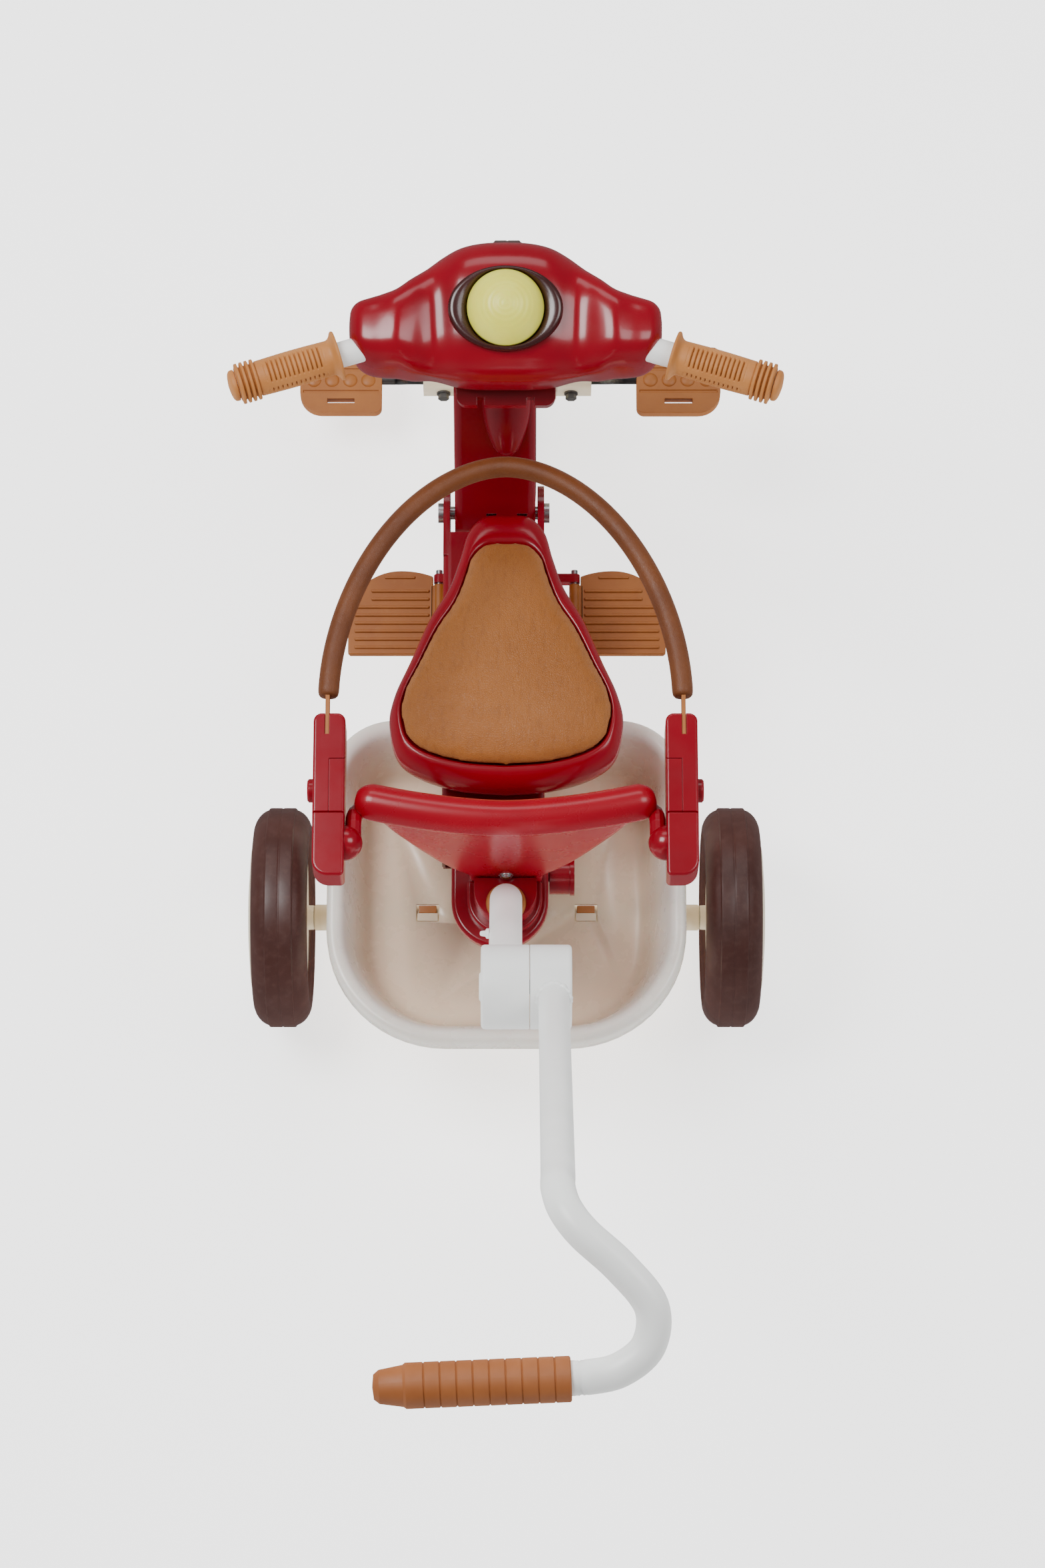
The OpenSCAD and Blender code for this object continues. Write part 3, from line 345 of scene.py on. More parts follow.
def solid(name, verts, faces):
    """An object from corners in mm, with its faces turned outwards."""
    mesh = bpy.data.meshes.new(name)
    mesh.from_pydata([V(*v) for v in verts], [], faces)
    bm = bmesh.new()
    bm.from_mesh(mesh)
    bmesh.ops.recalc_face_normals(bm, faces=bm.faces)
    bm.to_mesh(mesh)
    bm.free()
    return link(name, mesh)


def piece(name, body, slot, verts, faces, mat=None, stands=(), smooth=True):
    """A mesh piece that rides on a body and stands for the CAD nodes named in stands."""
    o = solid(name, verts, faces)
    finish_piece(o, body, slot, mat, stands, smooth)
    return o


def all_smooth(o):
    for p in o.data.polygons:
        p.use_smooth = True


def finish_piece(o, body, slot, mat=None, stands=(), smooth=True):
    o.data.materials.append(mat or MAT[slot])
    if smooth:
        all_smooth(o)
    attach(o, body)
    for n in stands:
        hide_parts(n)


def subdivide(o):
    m = o.modifiers.new("smooth", "SUBSURF")
    m.levels = m.render_levels = 1


def rounded(o, width, segments=3, angle=35):
    """Rounds the edges that turn by more than the angle in degrees; the width is in mm."""
    m = o.modifiers.new("round", "BEVEL")
    m.width, m.segments = width / 1000, segments
    m.limit_method, m.angle_limit = "ANGLE", math.radians(angle)
    m.harden_normals = False


def even_normals(o):
    """Keeps flat faces looking flat beside rounded edges."""
    m = o.modifiers.new("normals", "WEIGHTED_NORMAL")
    m.keep_sharp = True


def spline(p, steps):
    """A smooth curve through the points, with some steps between each two."""
    out = []
    n = len(p)
    for i in range(n - 1):
        a, b, c, d = (Vector(p[max(i - 1, 0)]), Vector(p[i]), Vector(p[i + 1]),
                      Vector(p[min(i + 2, n - 1)]))
        for s in range(steps):
            t = s / steps
            out.append(0.5 * (2 * b + (c - a) * t + (2 * a - 5 * b + 4 * c - d) * t * t
                              + (3 * b - a - 3 * c + d) * t ** 3))
    out.append(Vector(p[-1]))
    return out


def loft(rings, closed=False):
    """Corners and faces of a skin over rings, either capped or joined end to end."""
    n, m = len(rings[0]), len(rings)
    verts = [tuple(p) for r in rings for p in r]
    faces = []
    for i in range(m if closed else m - 1):
        j = (i + 1) % m
        faces += [(i * n + k, j * n + k, j * n + (k + 1) % n, i * n + (k + 1) % n)
                  for k in range(n)]
    if not closed:
        faces += [tuple(range(n)), tuple((m - 1) * n + k for k in range(n))]
    return verts, faces


def sweep(path, radius, up=(1, 0, 0), sides=24, closed=False):
    """Rings round a path; radius is a number or a function of the position from 0 to 1."""
    rings = []
    up = Vector(up)
    m = len(path)
    for i, p in enumerate(path):
        p = Vector(p)
        if closed:
            ahead = Vector(path[(i + 1) % m]) - Vector(path[i - 1])
        else:
            ahead = Vector(path[min(i + 1, m - 1)]) - Vector(path[max(i - 1, 0)])
        ahead.normalize()
        side = up.cross(ahead).normalized()
        top = ahead.cross(side)
        r = radius(i / max(m - 1, 1)) if callable(radius) else radius
        rings.append([p + side * (r * math.cos(2 * math.pi * k / sides))
                      + top * (r * math.sin(2 * math.pi * k / sides)) for k in range(sides)])
    return rings


def lathe(profile, steps=96):
    """Rings of a profile of (radius, height) turned round the local Z axis, in mm."""
    return [[Vector((r * math.cos(2 * math.pi * k / steps), r * math.sin(2 * math.pi * k / steps),
                     z)) for k in range(steps)] for r, z in profile]


def placed(rings, matrix):
    return [[matrix @ Vector(p) for p in r] for r in rings]


def frame_at(origin, z_axis, x_hint=(1, 0, 0)):
    """A matrix that puts the local Z axis along z_axis and X near x_hint."""
    z = Vector(z_axis).normalized()
    x = Vector(x_hint)
    x = (x - z * x.dot(z)).normalized()
    y = z.cross(x)
    m = Matrix((x, y, z)).transposed().to_4x4()
    m.translation = Vector(origin)
    return m


def join(parts):
    """Several (verts, faces) in one."""
    verts, faces = [], []
    for v, f in parts:
        n = len(verts)
        verts += list(v)
        faces += [tuple(i + n for i in face) for face in f]
    return verts, faces


def brick(low, high):
    """A plain block between two corners; it cuts slots or gets its edges rounded."""
    x0, y0, z0 = low
    x1, y1, z1 = high
    v = [(x0, y0, z0), (x1, y0, z0), (x1, y1, z0), (x0, y1, z0),
         (x0, y0, z1), (x1, y0, z1), (x1, y1, z1), (x0, y1, z1)]
    f = [(0, 3, 2, 1), (4, 5, 6, 7), (0, 1, 5, 4), (1, 2, 6, 5), (2, 3, 7, 6), (3, 0, 4, 7)]
    return v, f


def mirrored(part):
    """The same shape on the other side of X = 0."""
    v, f = part
    return [(-p[0], p[1], p[2]) for p in v], [tuple(reversed(q)) for q in f]


def prism(outline, at):
    """A flat outline of (a, b) pushed between two planes; at(a, b, t) places a corner."""
    n = len(outline)
    v = [at(a, b, 0) for a, b in outline] + [at(a, b, 1) for a, b in outline]
    f = [tuple(range(n)), tuple(range(2 * n - 1, n - 1, -1))]
    f += [(k, (k + 1) % n, n + (k + 1) % n, n + k) for k in range(n)]
    return v, f


# -------- CAD nodes keep their shapes
for node, obj in NODES.items():
    obj.data.materials.clear()
    obj.data.materials.append(MAT[SLOT[node]])
NODES["push_grip"].data.materials[0] = MAT["push_rubber"]


# -------- cutting tools
def cut(o, tools):
    """Cuts the tools' shapes out of a piece; the tools are thrown away."""
    for v, f in tools:
        tool = solid("tool", v, f)
        mesh = tool.data
        m = o.modifiers.new("cut", "BOOLEAN")
        m.object, m.operation, m.solver = tool, "DIFFERENCE", "EXACT"
        bpy.context.view_layer.objects.active = o
        bpy.ops.object.modifier_apply(modifier=m.name)
        bpy.data.objects.remove(tool)
        bpy.data.meshes.remove(mesh)


def superellipse(n, e):
    """Points of a unit oval that is nearer to a box the smaller e is."""
    out = []
    for k in range(n):
        a = 2 * math.pi * k / n
        c, s = math.cos(a), math.sin(a)
        out.append((math.copysign(abs(c) ** e, c), math.copysign(abs(s) ** e, s)))
    return out


def between(table, x):
    """Values of a table at x, on a smooth curve."""
    if x <= table[0][0]:
        return table[0][1:]
    for i in range(len(table) - 1):
        a, b = table[i], table[i + 1]
        if x <= b[0]:
            t = (x - a[0]) / (b[0] - a[0])
            p = table[max(i - 1, 0)]
            q = table[min(i + 2, len(table) - 1)]
            out = []
            for k in range(1, len(a)):
                m0 = (b[k] - p[k]) / max(b[0] - p[0], 1e-6) * (b[0] - a[0])
                m1 = (q[k] - a[k]) / max(q[0] - a[0], 1e-6) * (b[0] - a[0])
                out.append((2 * t ** 3 - 3 * t * t + 1) * a[k] + (t ** 3 - 2 * t * t + t) * m0
                           + (-2 * t ** 3 + 3 * t * t) * b[k] + (t ** 3 - t * t) * m1)
            return tuple(out)
    return table[-1][1:]


def smooth(t):
    """A soft step from 0 to 1."""
    t = max(0.0, min(1.0, t))
    return t * t * (3 - 2 * t)


# -------- handlebar cowl
HORN_TILT = math.radians(15)
HORN = frame_at((0, 399, 562), (0, -math.sin(HORN_TILT), math.cos(HORN_TILT)))
HORN_R, HORN_RISE = 32.5, 24  # yellow dome
COWL = [  # X, middle Y, middle Z, half depth, half height, tilt
    (0, 415.5, 508, 61, 57, 15), (20, 415, 508, 60.5, 56.7, 15), (38, 413, 508.8, 58, 54.5, 14.5),
    (54, 409, 510.2, 53, 50.5, 13.5), (68, 404, 512.3, 46.5, 47, 12), (80, 399.5, 514.5, 41, 45, 10),
    (92, 395, 517, 34.5, 43, 8), (104, 392.5, 518, 31.5, 40.5, 6), (116, 391, 520, 28.5, 37.5, 4),
    (124, 391.5, 521.5, 25, 33.5, 3), (129, 392.5, 522.5, 20, 27.5, 2),
    (131.5, 393.5, 523, 14.5, 20.5, 1), (132.5, 394.5, 523.5, 7, 11, 0)]


def cowl():
    """One moulded shell: a centre hump, a scoop on each side of it and a lobe beyond."""
    half = [1.5 * k for k in range(78)] + [117.5 + 0.94 * k for k in range(17)]
    tip = COWL[-1][0]
    rings = []
    for x in [-x for x in reversed(half[1:])] + half:
        ax = abs(x)
        yc, zc, a, b, tilt = between(COWL, min(ax, tip))
        ct, st = math.cos(math.radians(tilt)), math.sin(math.radians(tilt))
        scoop = math.exp(-((ax - 60) / 15.5) ** 2)
        lobe = math.exp(-((ax - 92) / 15) ** 2)
        ring = []
        for c, s in superellipse(72, 0.62):
            top, rear = smooth(s * 1.4 + 0.1), smooth(0.5 - 0.5 * c)
            u = a * c + 3.2 * scoop * rear * (1 - top)
            w = b * s + (2.6 * lobe - 6.4 * scoop) * top
            ring.append((x, yc + u * ct - w * st, zc + w * ct + u * st))
        rings.append(ring)
    v, f = loft(rings)
    o = piece("cowl_shell", "steering", "red_plastic", v, f, None, ["cowl"])
    cut(o, [loft(placed(lathe([(HORN_R + 1.5, -16), (HORN_R + 1.5, 40)], 64), HORN))])
    all_smooth(o)


def horn_parts():
    # oval surround: a flat lip with a rounded rim that drops into the cowl
    prof = [(1.0, -9), (1.0, 2.0), (0.985, 4.6), (0.95, 5.8), (0.9, 6.0)]
    rings = []
    for k, h in prof:
        rings.append([Vector((48.5 * k * math.cos(t), 36.2 * k * math.sin(t), h))
                      for t in [2 * math.pi * i / 96 for i in range(96)]])
    for r, h in ((35.4, 5.2), (34.4, 4.0), (33.1, 2.0), (33.1, -9)):
        ring = []
        for i in range(96):
            t = 2 * math.pi * i / 96
            ring.append(Vector((r * math.cos(t), min(r, 33.6) * math.sin(t), h)))
        rings.append(ring)
    v, f = loft(placed(rings, HORN), closed=True)
    piece("horn_surround", "steering", "brown_plastic", v, f, None, ["horn_ring"])
    # soft dome with faint moulded steps round its crown
    prof = [(0.0, -2.0), (HORN_R - 0.1, -2.0), (HORN_R, 5.0), (HORN_R - 0.4, 7.4)]
    ball = (HORN_R ** 2 + HORN_RISE ** 2) / (2 * HORN_RISE)
    steps, foot = 7, 6
    for k in range(2, 61):
        r = (HORN_R - 0.4) * (1 - k / 60)
        z = foot + HORN_RISE - ball + math.sqrt(ball ** 2 - r * r)
        ripple = 0.132 if r < 24 else 0.053
        prof.append((max(r, 0.01), z + ripple * math.sin(r / 32 * 2 * math.pi * steps)))
    v, f = loft(placed(lathe(prof, 96), HORN))
    piece("horn_dome", "horn", "yellow_rubber", v, f, None, ["horn_button"])


# -------- grips
def grips():
    """Rubber grips: flange, a window of ribs, a row of slots on each side, bellows, round end."""
    start, body_r = (GRIP_X - BAR_BEND) / math.cos(SWEEP), 15.0
    flange, body_end, bellows_end, cap_z = 9, 71, 89, 90.6
    first, last, pitch = 13.0, 65.0, 4.0  # window along the grip, and its ribs
    for side, name in SIDES:
        axis = Vector((side * math.cos(SWEEP), -math.sin(SWEEP), 0))
        up = Vector((0, -0.14, 0.99))
        m = frame_at((side * BAR_BEND, BAR_Y, BAR_Z), axis, up)
        rings = []
        for i in range(243):
            z = 0.4 * i
            if z < 2.6:
                r = 21.5 - 0.5 * abs(z - 1.3)
            elif z < flange:
                r = body_r + 5.8 * (1 - (z - 2.6) / 6.4) ** 2.6
            elif z < body_end:
                r = body_r + 0.6 * math.sin(math.pi * (z - flange) / (body_end - flange))
            elif z < bellows_end:
                k = ((z - body_end) % 4.5) / 4.5
                r = 14.0 + 3.5 * smooth(2.8 * (1 - abs(2 * k - 1)) - 0.5)
            else:
                t = min(abs(z - cap_z) / (6.0 if z > cap_z else 1.8), 1.0)
                r = max(0.05 if z > cap_z else 9.5, 13.4 * math.sqrt(1 - t ** 3.6))
            ring = []
            rib = smooth(2.4 - 4.8 * abs(((z - first) / pitch) % 1 - 0.5))
            inside = smooth((z - first) / 0.9) * smooth((last - z) / 0.9)
            half = 38 - 7 * (1 - smooth(min(z - first, last - z) / 5))
            for k in range(144):
                a = 2 * math.pi * k / 144
                d = abs(math.degrees((a + math.pi) % (2 * math.pi) - math.pi))
                q = r
                if inside > 0:
                    q -= 3.2 * smooth((half - d) / 2.6 + 1) * inside * (1 - rib)
                    q -= 2.4 * smooth((8.5 - abs(d - 70)) / 2.6) * inside * (1 - rib)
                ring.append(Vector((q * math.cos(a), q * math.sin(a), start + z)))
            rings.append(ring)
        v, f = loft(placed(rings, m))
        piece("grip_rubber_" + name, "steering", "tan_rubber", v, f, None, ["grip_" + name])


# -------- saddle
SADDLE = [(0, 292), (18, 291), (31, 279), (38, 258), (47, 235), (63, 210), (78, 178),
          (90, 153), (94, 132), (88, 107), (70, 93), (38, 84), (0, 81)]  # half outline


def saddle_ring(height, grow, nose, rear):
    """The outline at a height, widened by grow and lengthened by nose and rear."""
    half = spline([(x, y, 0) for x, y in SADDLE], 6)
    ring = [Vector((p.x, p.y, 0)) for p in reversed(half[1:])]
    ring += [Vector((-p.x, p.y, 0)) for p in half[:-1]]
    out = []
    for p in ring:
        k = nose if p.y > SEAT_MID else rear
        out.append((p.x * grow, SEAT_MID + (p.y - SEAT_MID) * k, SEAT_Z + height))
    return out


def saddle():
    # red shell from its underside over the rim and down inside it
    table = [(0, 1.03, 1.16, 1.13), (2, 1.055, 1.19, 1.175), (6, 1.08, 1.212, 1.21),
             (12, 1.095, 1.226, 1.228), (20, 1.1, 1.232, 1.224), (27, 1.09, 1.22, 1.2),
             (33, 1.065, 1.175, 1.15), (36.5, 1.04, 1.115, 1.095), (38.2, 1.02, 1.06, 1.045),
             (38.6, 1.005, 1.02, 1.015), (37.5, 0.99, 0.99, 0.99), (30, 0.97, 0.97, 0.97)]
    v, f = loft([saddle_ring(*row) for row in table])
    piece("saddle_shell", "chassis", "red_plastic", v, f, None, ["seat_base"])
    # cushion: crowned pad that swells inside the shell's rim
    top = [(34, 0.955, 0.96, 0.955), (38, 0.985, 0.985, 0.985), (41.5, 0.988, 0.988, 0.988),
           (44.5, 0.965, 0.968, 0.965), (47.0, 0.91, 0.92, 0.91), (49.0, 0.82, 0.84, 0.82),
           (50.6, 0.68, 0.72, 0.68), (51.7, 0.5, 0.55, 0.5), (52.4, 0.3, 0.34, 0.3),
           (52.7, 0.1, 0.12, 0.1)]
    v, f = loft([saddle_ring(*row) for row in top])
    o = piece("saddle_pad", "chassis", "tan_leatherette", v, f, None, ["seat_cushion"])
    pad_swell(o, 0.004, 4.0, 0.004)


def pad_swell(o, voxel, pressure, cap):
    """Remeshes a pad and lets cloth pressure fill it, then keeps each point near its start."""
    bpy.context.view_layer.objects.active = o
    m = o.modifiers.new("remesh", "REMESH")
    m.mode, m.voxel_size, m.use_smooth_shade = "VOXEL", voxel, True
    bpy.ops.object.modifier_apply(modifier=m.name)
    start = [v.co.copy() for v in o.data.vertices]
    c = o.modifiers.new("cloth", "CLOTH")
    c.settings.quality = 5
    c.settings.use_pressure = True
    c.settings.uniform_pressure_force = pressure
    c.settings.tension_stiffness = 25
    c.settings.bending_stiffness = 2.0
    c.settings.effector_weights.gravity = 0
    c.collision_settings.use_self_collision = False
    scene = bpy.context.scene
    last_frame, held = 15, 0.006  # held: height over which the shell's rim grips the pad
    for k in range(1, last_frame + 1):
        scene.frame_set(k)
    dg = bpy.context.evaluated_depsgraph_get()
    e = o.evaluated_get(dg)
    moved = [v.co.copy() for v in e.data.vertices]
    o.modifiers.remove(c)
    scene.frame_set(1)
    low = min(p.z for p in start)
    for v, a, b in zip(o.data.vertices, start, moved):
        d = b - a
        if d.length > cap:
            d = d * (cap / d.length)
        keep = smooth((a.z - low - held) / held)
        v.co = a + Vector((d.x * 0.3, d.y * 0.3, d.z)) * keep
    s = o.modifiers.new("relax", "SMOOTH")
    s.factor, s.iterations = 0.5, 4
    bpy.ops.object.modifier_apply(modifier=s.name)
    subdivide(o)
    all_smooth(o)


# -------- backrest
# Z, half width, half depth, middle Y, and its share of the bend
BACK = [(268, 31, 7, -13.5, 0), (280, 32, 7, -13.5, 0), (292, 34, 7.1, -13.3, 0),
        (310, 48, 8, -12.8, 0.1), (330, 62, 8.3, -12, 0.22), (350, 75, 8.8, -11, 0.36),
        (370, 88, 9.3, -10.3, 0.54), (390, 101, 9.8, -9.8, 0.72), (405, 108.5, 10.2, -9.5, 0.85),
        (418, 111, 10.2, -9.5, 1), (424, 104, 7, -9.5, 1)]


def back_curve(x):
    """How far forward the backrest bends at a distance from its middle."""
    return BACK_BEND * (abs(x) / BACK_HALF) ** 1.7


def backrest():
    rings = []
    for k in range(40):
        z = BACK_FOOT + (BACK_TOP - BACK_FOOT) * k / 39
        hx, hy, yc, share = between(BACK, z)
        rings.append([(hx * c, yc + share * back_curve(hx * c) + hy * s, z)
                      for c, s in superellipse(64, 0.6)])
    path = []
    for i in range(-13, 14):
        x = 9.76 * i
        path.append((x, -9.5 + back_curve(x), BACK_Z - 3 * (x / BACK_HALF) ** 2))
    path = spline(path, 6)

    def bar_radius(t):
        """Full along the bar, and closing to a round end at each side."""
        d = max(0.0, (abs(2 * t - 1) - 0.88) / 0.1202)
        return 15.6 * math.sqrt(max(1e-4, 1 - d ** 2.1))
    v, f = join([loft(rings), loft(sweep(path, bar_radius, (0, 0, 1), 48))])
    # the backrest takes the brighter red, which is painted light
    piece("backrest_shell", "chassis", "red_plastic", v, f, MAT["red_back"], ["backrest"])


# -------- guard ring
def guard_ring():
    """The padded sleeve: half of a slightly pointed oval with a narrower rim at each end."""
    half, sleeve_r, point = GUARD_X + 1.5, 9.0, 1.08
    path = []
    for k in range(0, 181, 2):
        c, s = math.cos(math.radians(k)), math.sin(math.radians(k))
        path.append((half * math.copysign(abs(c) ** point, c),
                     GUARD_Y + GUARD_REACH * abs(s) ** point, GUARD_Z))

    def radius(t):
        return sleeve_r * (0.9 + 0.1 * smooth(min(t, 1 - t) / 0.004))
    v, f = loft(sweep(path, radius, (0, 0, 1), 32))
    o = piece("guard_padding", "guard", "guard_leatherette", v, f, None, ["guard_sleeve"])
    subdivide(o)


# -------- wheels
def tyre(name, body, middle, r, bead, w, stands):
    """A solid tyre with a flat tread between two steps, and a bead beside the wheel."""
    h = w / 2
    half = [(r - 0.35, 0.6), (r, 1.0), (r, 11.2), (r - 0.4, 12.0), (r - 1.5, 12.5),
            (r - 1.9, 13.2), (r - 3.2, h - 9.4), (r - 5.2, h - 6.6), (r - 8, h - 4.0),
            (r - 11.5, h - 1.8), (r - 15.5, h - 0.3), (bead + 6, h), (bead + 4.4, h - 0.5),
            (bead + 3.6, h - 1.8), (bead + 2, h - 2.6), (bead, h - 5)]
    prof = [(q, -t) for q, t in reversed(half)] + half
    m = frame_at(middle, (1, 0, 0), (0, 1, 0))
    v, f = loft(placed(lathe(prof, 144), m), closed=True)
    o = piece(name, body, "brown_tyre", v, f, None, stands)
    rounded(o, 0.35, 2, 25)


def wheels():
    for side, name in reversed(SIDES):
        tyre("tyre_rear_" + name, "wheel_rear_" + name, (side * REAR_X, 0, REAR_R), REAR_R,
             REAR_BEAD, REAR_W, ["rear_tyre_" + name])
    tyre("tyre_front", "wheel_front", (0, WHEELBASE, FRONT_R), FRONT_R, FRONT_BEAD, FRONT_W,
         ["front_tyre"])


# -------- basket
def basket_outline(inset, z):
    """The tub's outline, moved inwards; its rear corners are rounder than its front ones."""
    n = 14
    hx = 161 - inset
    front, rear = 162 - inset, -141 + inset
    rf, rr = 60 - inset, 107 - inset
    out = []
    for cx, cy, r, a0 in ((hx - rf, front - rf, rf, 0), (-hx + rf, front - rf, rf, 90),
                          (-hx + rr, rear + rr, rr, 180), (hx - rr, rear + rr, rr, 270)):
        for k in range(n + 1):
            a = math.radians(a0 + 90 * k / n)
            out.append((cx + r * math.cos(a), cy + r * math.sin(a), z))
    return out


def basket():
    # inset and height from under the floor up the outside, over the rim and down the inside
    f0, t0 = TUB_FLOOR, TUB_RIM
    sec = [(52, f0 - 3), (43, f0 - 3), (38, f0 - 2.2), (34, f0 + 0.5), (30, f0 + 6), (23, t0 - 42),
           (17, t0 - 16), (14.5, t0 - 8.5), (12.5, t0 - 6), (9.5, t0 - 4), (6, t0 - 3.4),
           (4, t0 - 4.6), (2.9, t0 - 8), (2.5, t0 - 21.5), (1.8, t0 - 22.4), (0.6, t0 - 22.2),
           (0, t0 - 21), (0, t0 - 7), (0.5, t0 - 3.6), (2, t0 - 1.2), (4.5, t0 - 0.1),
           (7.5, t0), (11, t0 - 0.9), (14, t0 - 3.5), (16, t0 - 7), (20, t0 - 17),
           (27, t0 - 44), (32.5, f0 + 9), (36, f0 + 3.6), (40, f0 + 1), (45, f0), (52, f0)]
    v, f = loft([basket_outline(inset, z) for inset, z in sec])
    o = piece("basket_tub", "chassis", "basket_plastic", v, f, None, ["basket"])
    tools = []
    for side, _ in SIDES:
        x = side * CLIP_X
        tools.append(brick((x - 10.3, -8, f0 - 6), (x + 10.3, 8, f0 + 8)))
    tools.append(brick((-39, -16, f0 - 6), (15, 48, f0 + 8)))  # round the post
    cut(o, tools)
    for side, name in SIDES:
        x = side * CLIP_X
        piece("clip_head_" + name, "chassis", "tan_plastic",
              *soft_block(x - 8, x + 8, 0.3, 7.4, f0 - 5, f0 - 1, (1, 1, 1, 1), 0.5))
        piece("clip_step_" + name, "chassis", "basket_plastic",
              *soft_block(x - 9.4, x + 9.4, -7.4, 0.1, f0 - 5, f0 - 0.6, (1, 1, 1, 1), 0.5))


# -------- push bar
def joint_half(x0, x1, round0, round1):
    """Half of the push bar's drum-shaped joint, with a rounded edge at each end."""
    r = JOINT_R
    prof = [(0.01, x0), (r - round0, x0)]
    prof += [(r - round0 + round0 * math.sin(a), x0 + round0 * (1 - math.cos(a)))
             for a in [math.pi / 2 * k / 6 for k in range(1, 7)]]
    prof += [(r - round1 + round1 * math.cos(a), x1 - round1 + round1 * math.sin(a))
             for a in [math.pi / 2 * k / 6 for k in range(0, 7)]]
    prof += [(29.5, x1), (28.9, x1 - 0.8), (0.01, x1 - 0.8)]
    m = frame_at((0, JOINT_Y, JOINT_Z), (1, 0, 0), (0, 1, 0))
    return loft(placed(lathe(prof, 96), m))


def weld_bead(start, d):
    """A wavy bead where the upper tube, along d, meets the joint's rim."""
    x = Vector((1, 0, 0))
    y = d.cross(x)
    ring = []
    for k in range(64):
        a = 2 * math.pi * k / 64
        across = x * math.cos(a) + y * math.sin(a)
        sag = JOINT_R - math.sqrt(JOINT_R ** 2 - (13.2 * math.sin(a)) ** 2)
        ring.append(start + across * 13.0 + d * (JOINT_R - sag)
                    + Vector((0, 0, 0.25 * math.sin(9 * a))))
    return loft(sweep(ring, lambda t: 2.3 + 0.5 * math.sin(t * 96), (0.3, 0.5, 1), 10, True),
                closed=True)


def push_bar():
    path = spline([(0, POST_Y, 250), (0, POST_Y, 278), (0, POST_Y, 304), (0, -48.8, 317),
                   (0, -63, 335), (0, -87, 361), (0, -114, 392), (0, -142, 425)], 8)
    tube = loft(sweep(path, LOWER_R, (1, 0, 0), 40))
    piece("push_bar_lower", "push_lower", "white_tube",
          *join([tube, joint_half(-20, 20, 3.2, 1.0)]), None, ["push_tube_lower"])
    d = Vector((0, -math.cos(RISE), math.sin(RISE)))
    start = Vector((UPPER_X, JOINT_Y, JOINT_Z))
    straight = [start + d * t for t in range(20, 470, 15)]
    straight = [p for p in straight if p.y > -405]
    bends = [(40, -413, 845.5), (40, -427, 868), (45, -445, 882), (58, -463, 885),
             (84, -486, 880), (106, -512, 869), (104, -538, 857), (84, -554, 849.5),
             (60, -559, 847), (40, -559.5, 846)]
    tube = loft(sweep(straight + spline(bends, 8), UPPER_R, (1, 0.05, 0.1), 40))
    piece("push_bar_upper", "push_upper", "white_tube",
          *join([tube, joint_half(20.5, 55, 1.0, 3.2), weld_bead(start, d)]), None,
          ["push_tube_upper"])


# -------- footrests and pedals
def footrests():
    """Folding footrests: a plate with a rounded outer front corner, ribs and a hinge tube."""
    for side, name in SIDES:
        outer, inner, front, mid, across = 145, 67.5, 308, 262, 97
        out = [(inner, 227), (outer - 2, 227), (outer, 229)]
        for k in range(25):
            a = math.radians(90 * k / 24)
            out.append((across + (outer - across) * math.cos(a),
                        mid + (front - mid) * math.sin(a)))
        for k in range(1, 9):
            x = across - (across - inner) * k / 8
            out.append((x, mid + (front - mid) * math.sqrt(max(0, 1 - ((across - x) / 62) ** 2))))
        z = FOOTREST_Z
        plate = prism(out, lambda a, b, t: (side * a, b, z - 4 + 7.0 * t))
        ribs = []
        for k in range(8):
            y = 232 + k * 7.8
            ribs.append(brick((71, y, z + 2), (124 if k > 5 else 139, y + 2.6, z + 4.8)))
        ribs.append(brick((84, 300, z + 2), (112, 302.5, z + 4.4)))
        ribs.append(brick((137, 230, z - 12), (142, 275, z - 3)))
        parts = [plate] + (ribs if side > 0 else [mirrored(p) for p in ribs])
        m = frame_at((side * 62, 236, z), (0, 1, 0))
        parts.append(loft(placed(lathe([(3.1, 0), (5, 0), (5, 59), (3.1, 59)], 32), m),
                          closed=True))
        parts.append(brick((62 if side > 0 else -70, 237, z - 3.5),
                           (70 if side > 0 else -62, 294, z + 3)))
        v, f = join(parts)
        o = piece("footrest_plate_" + name, name + "_footrest", "footrest_plastic", v, f, None,
                  ["footrest_" + name], smooth=False)
        rounded(o, 0.9, 3, 40)


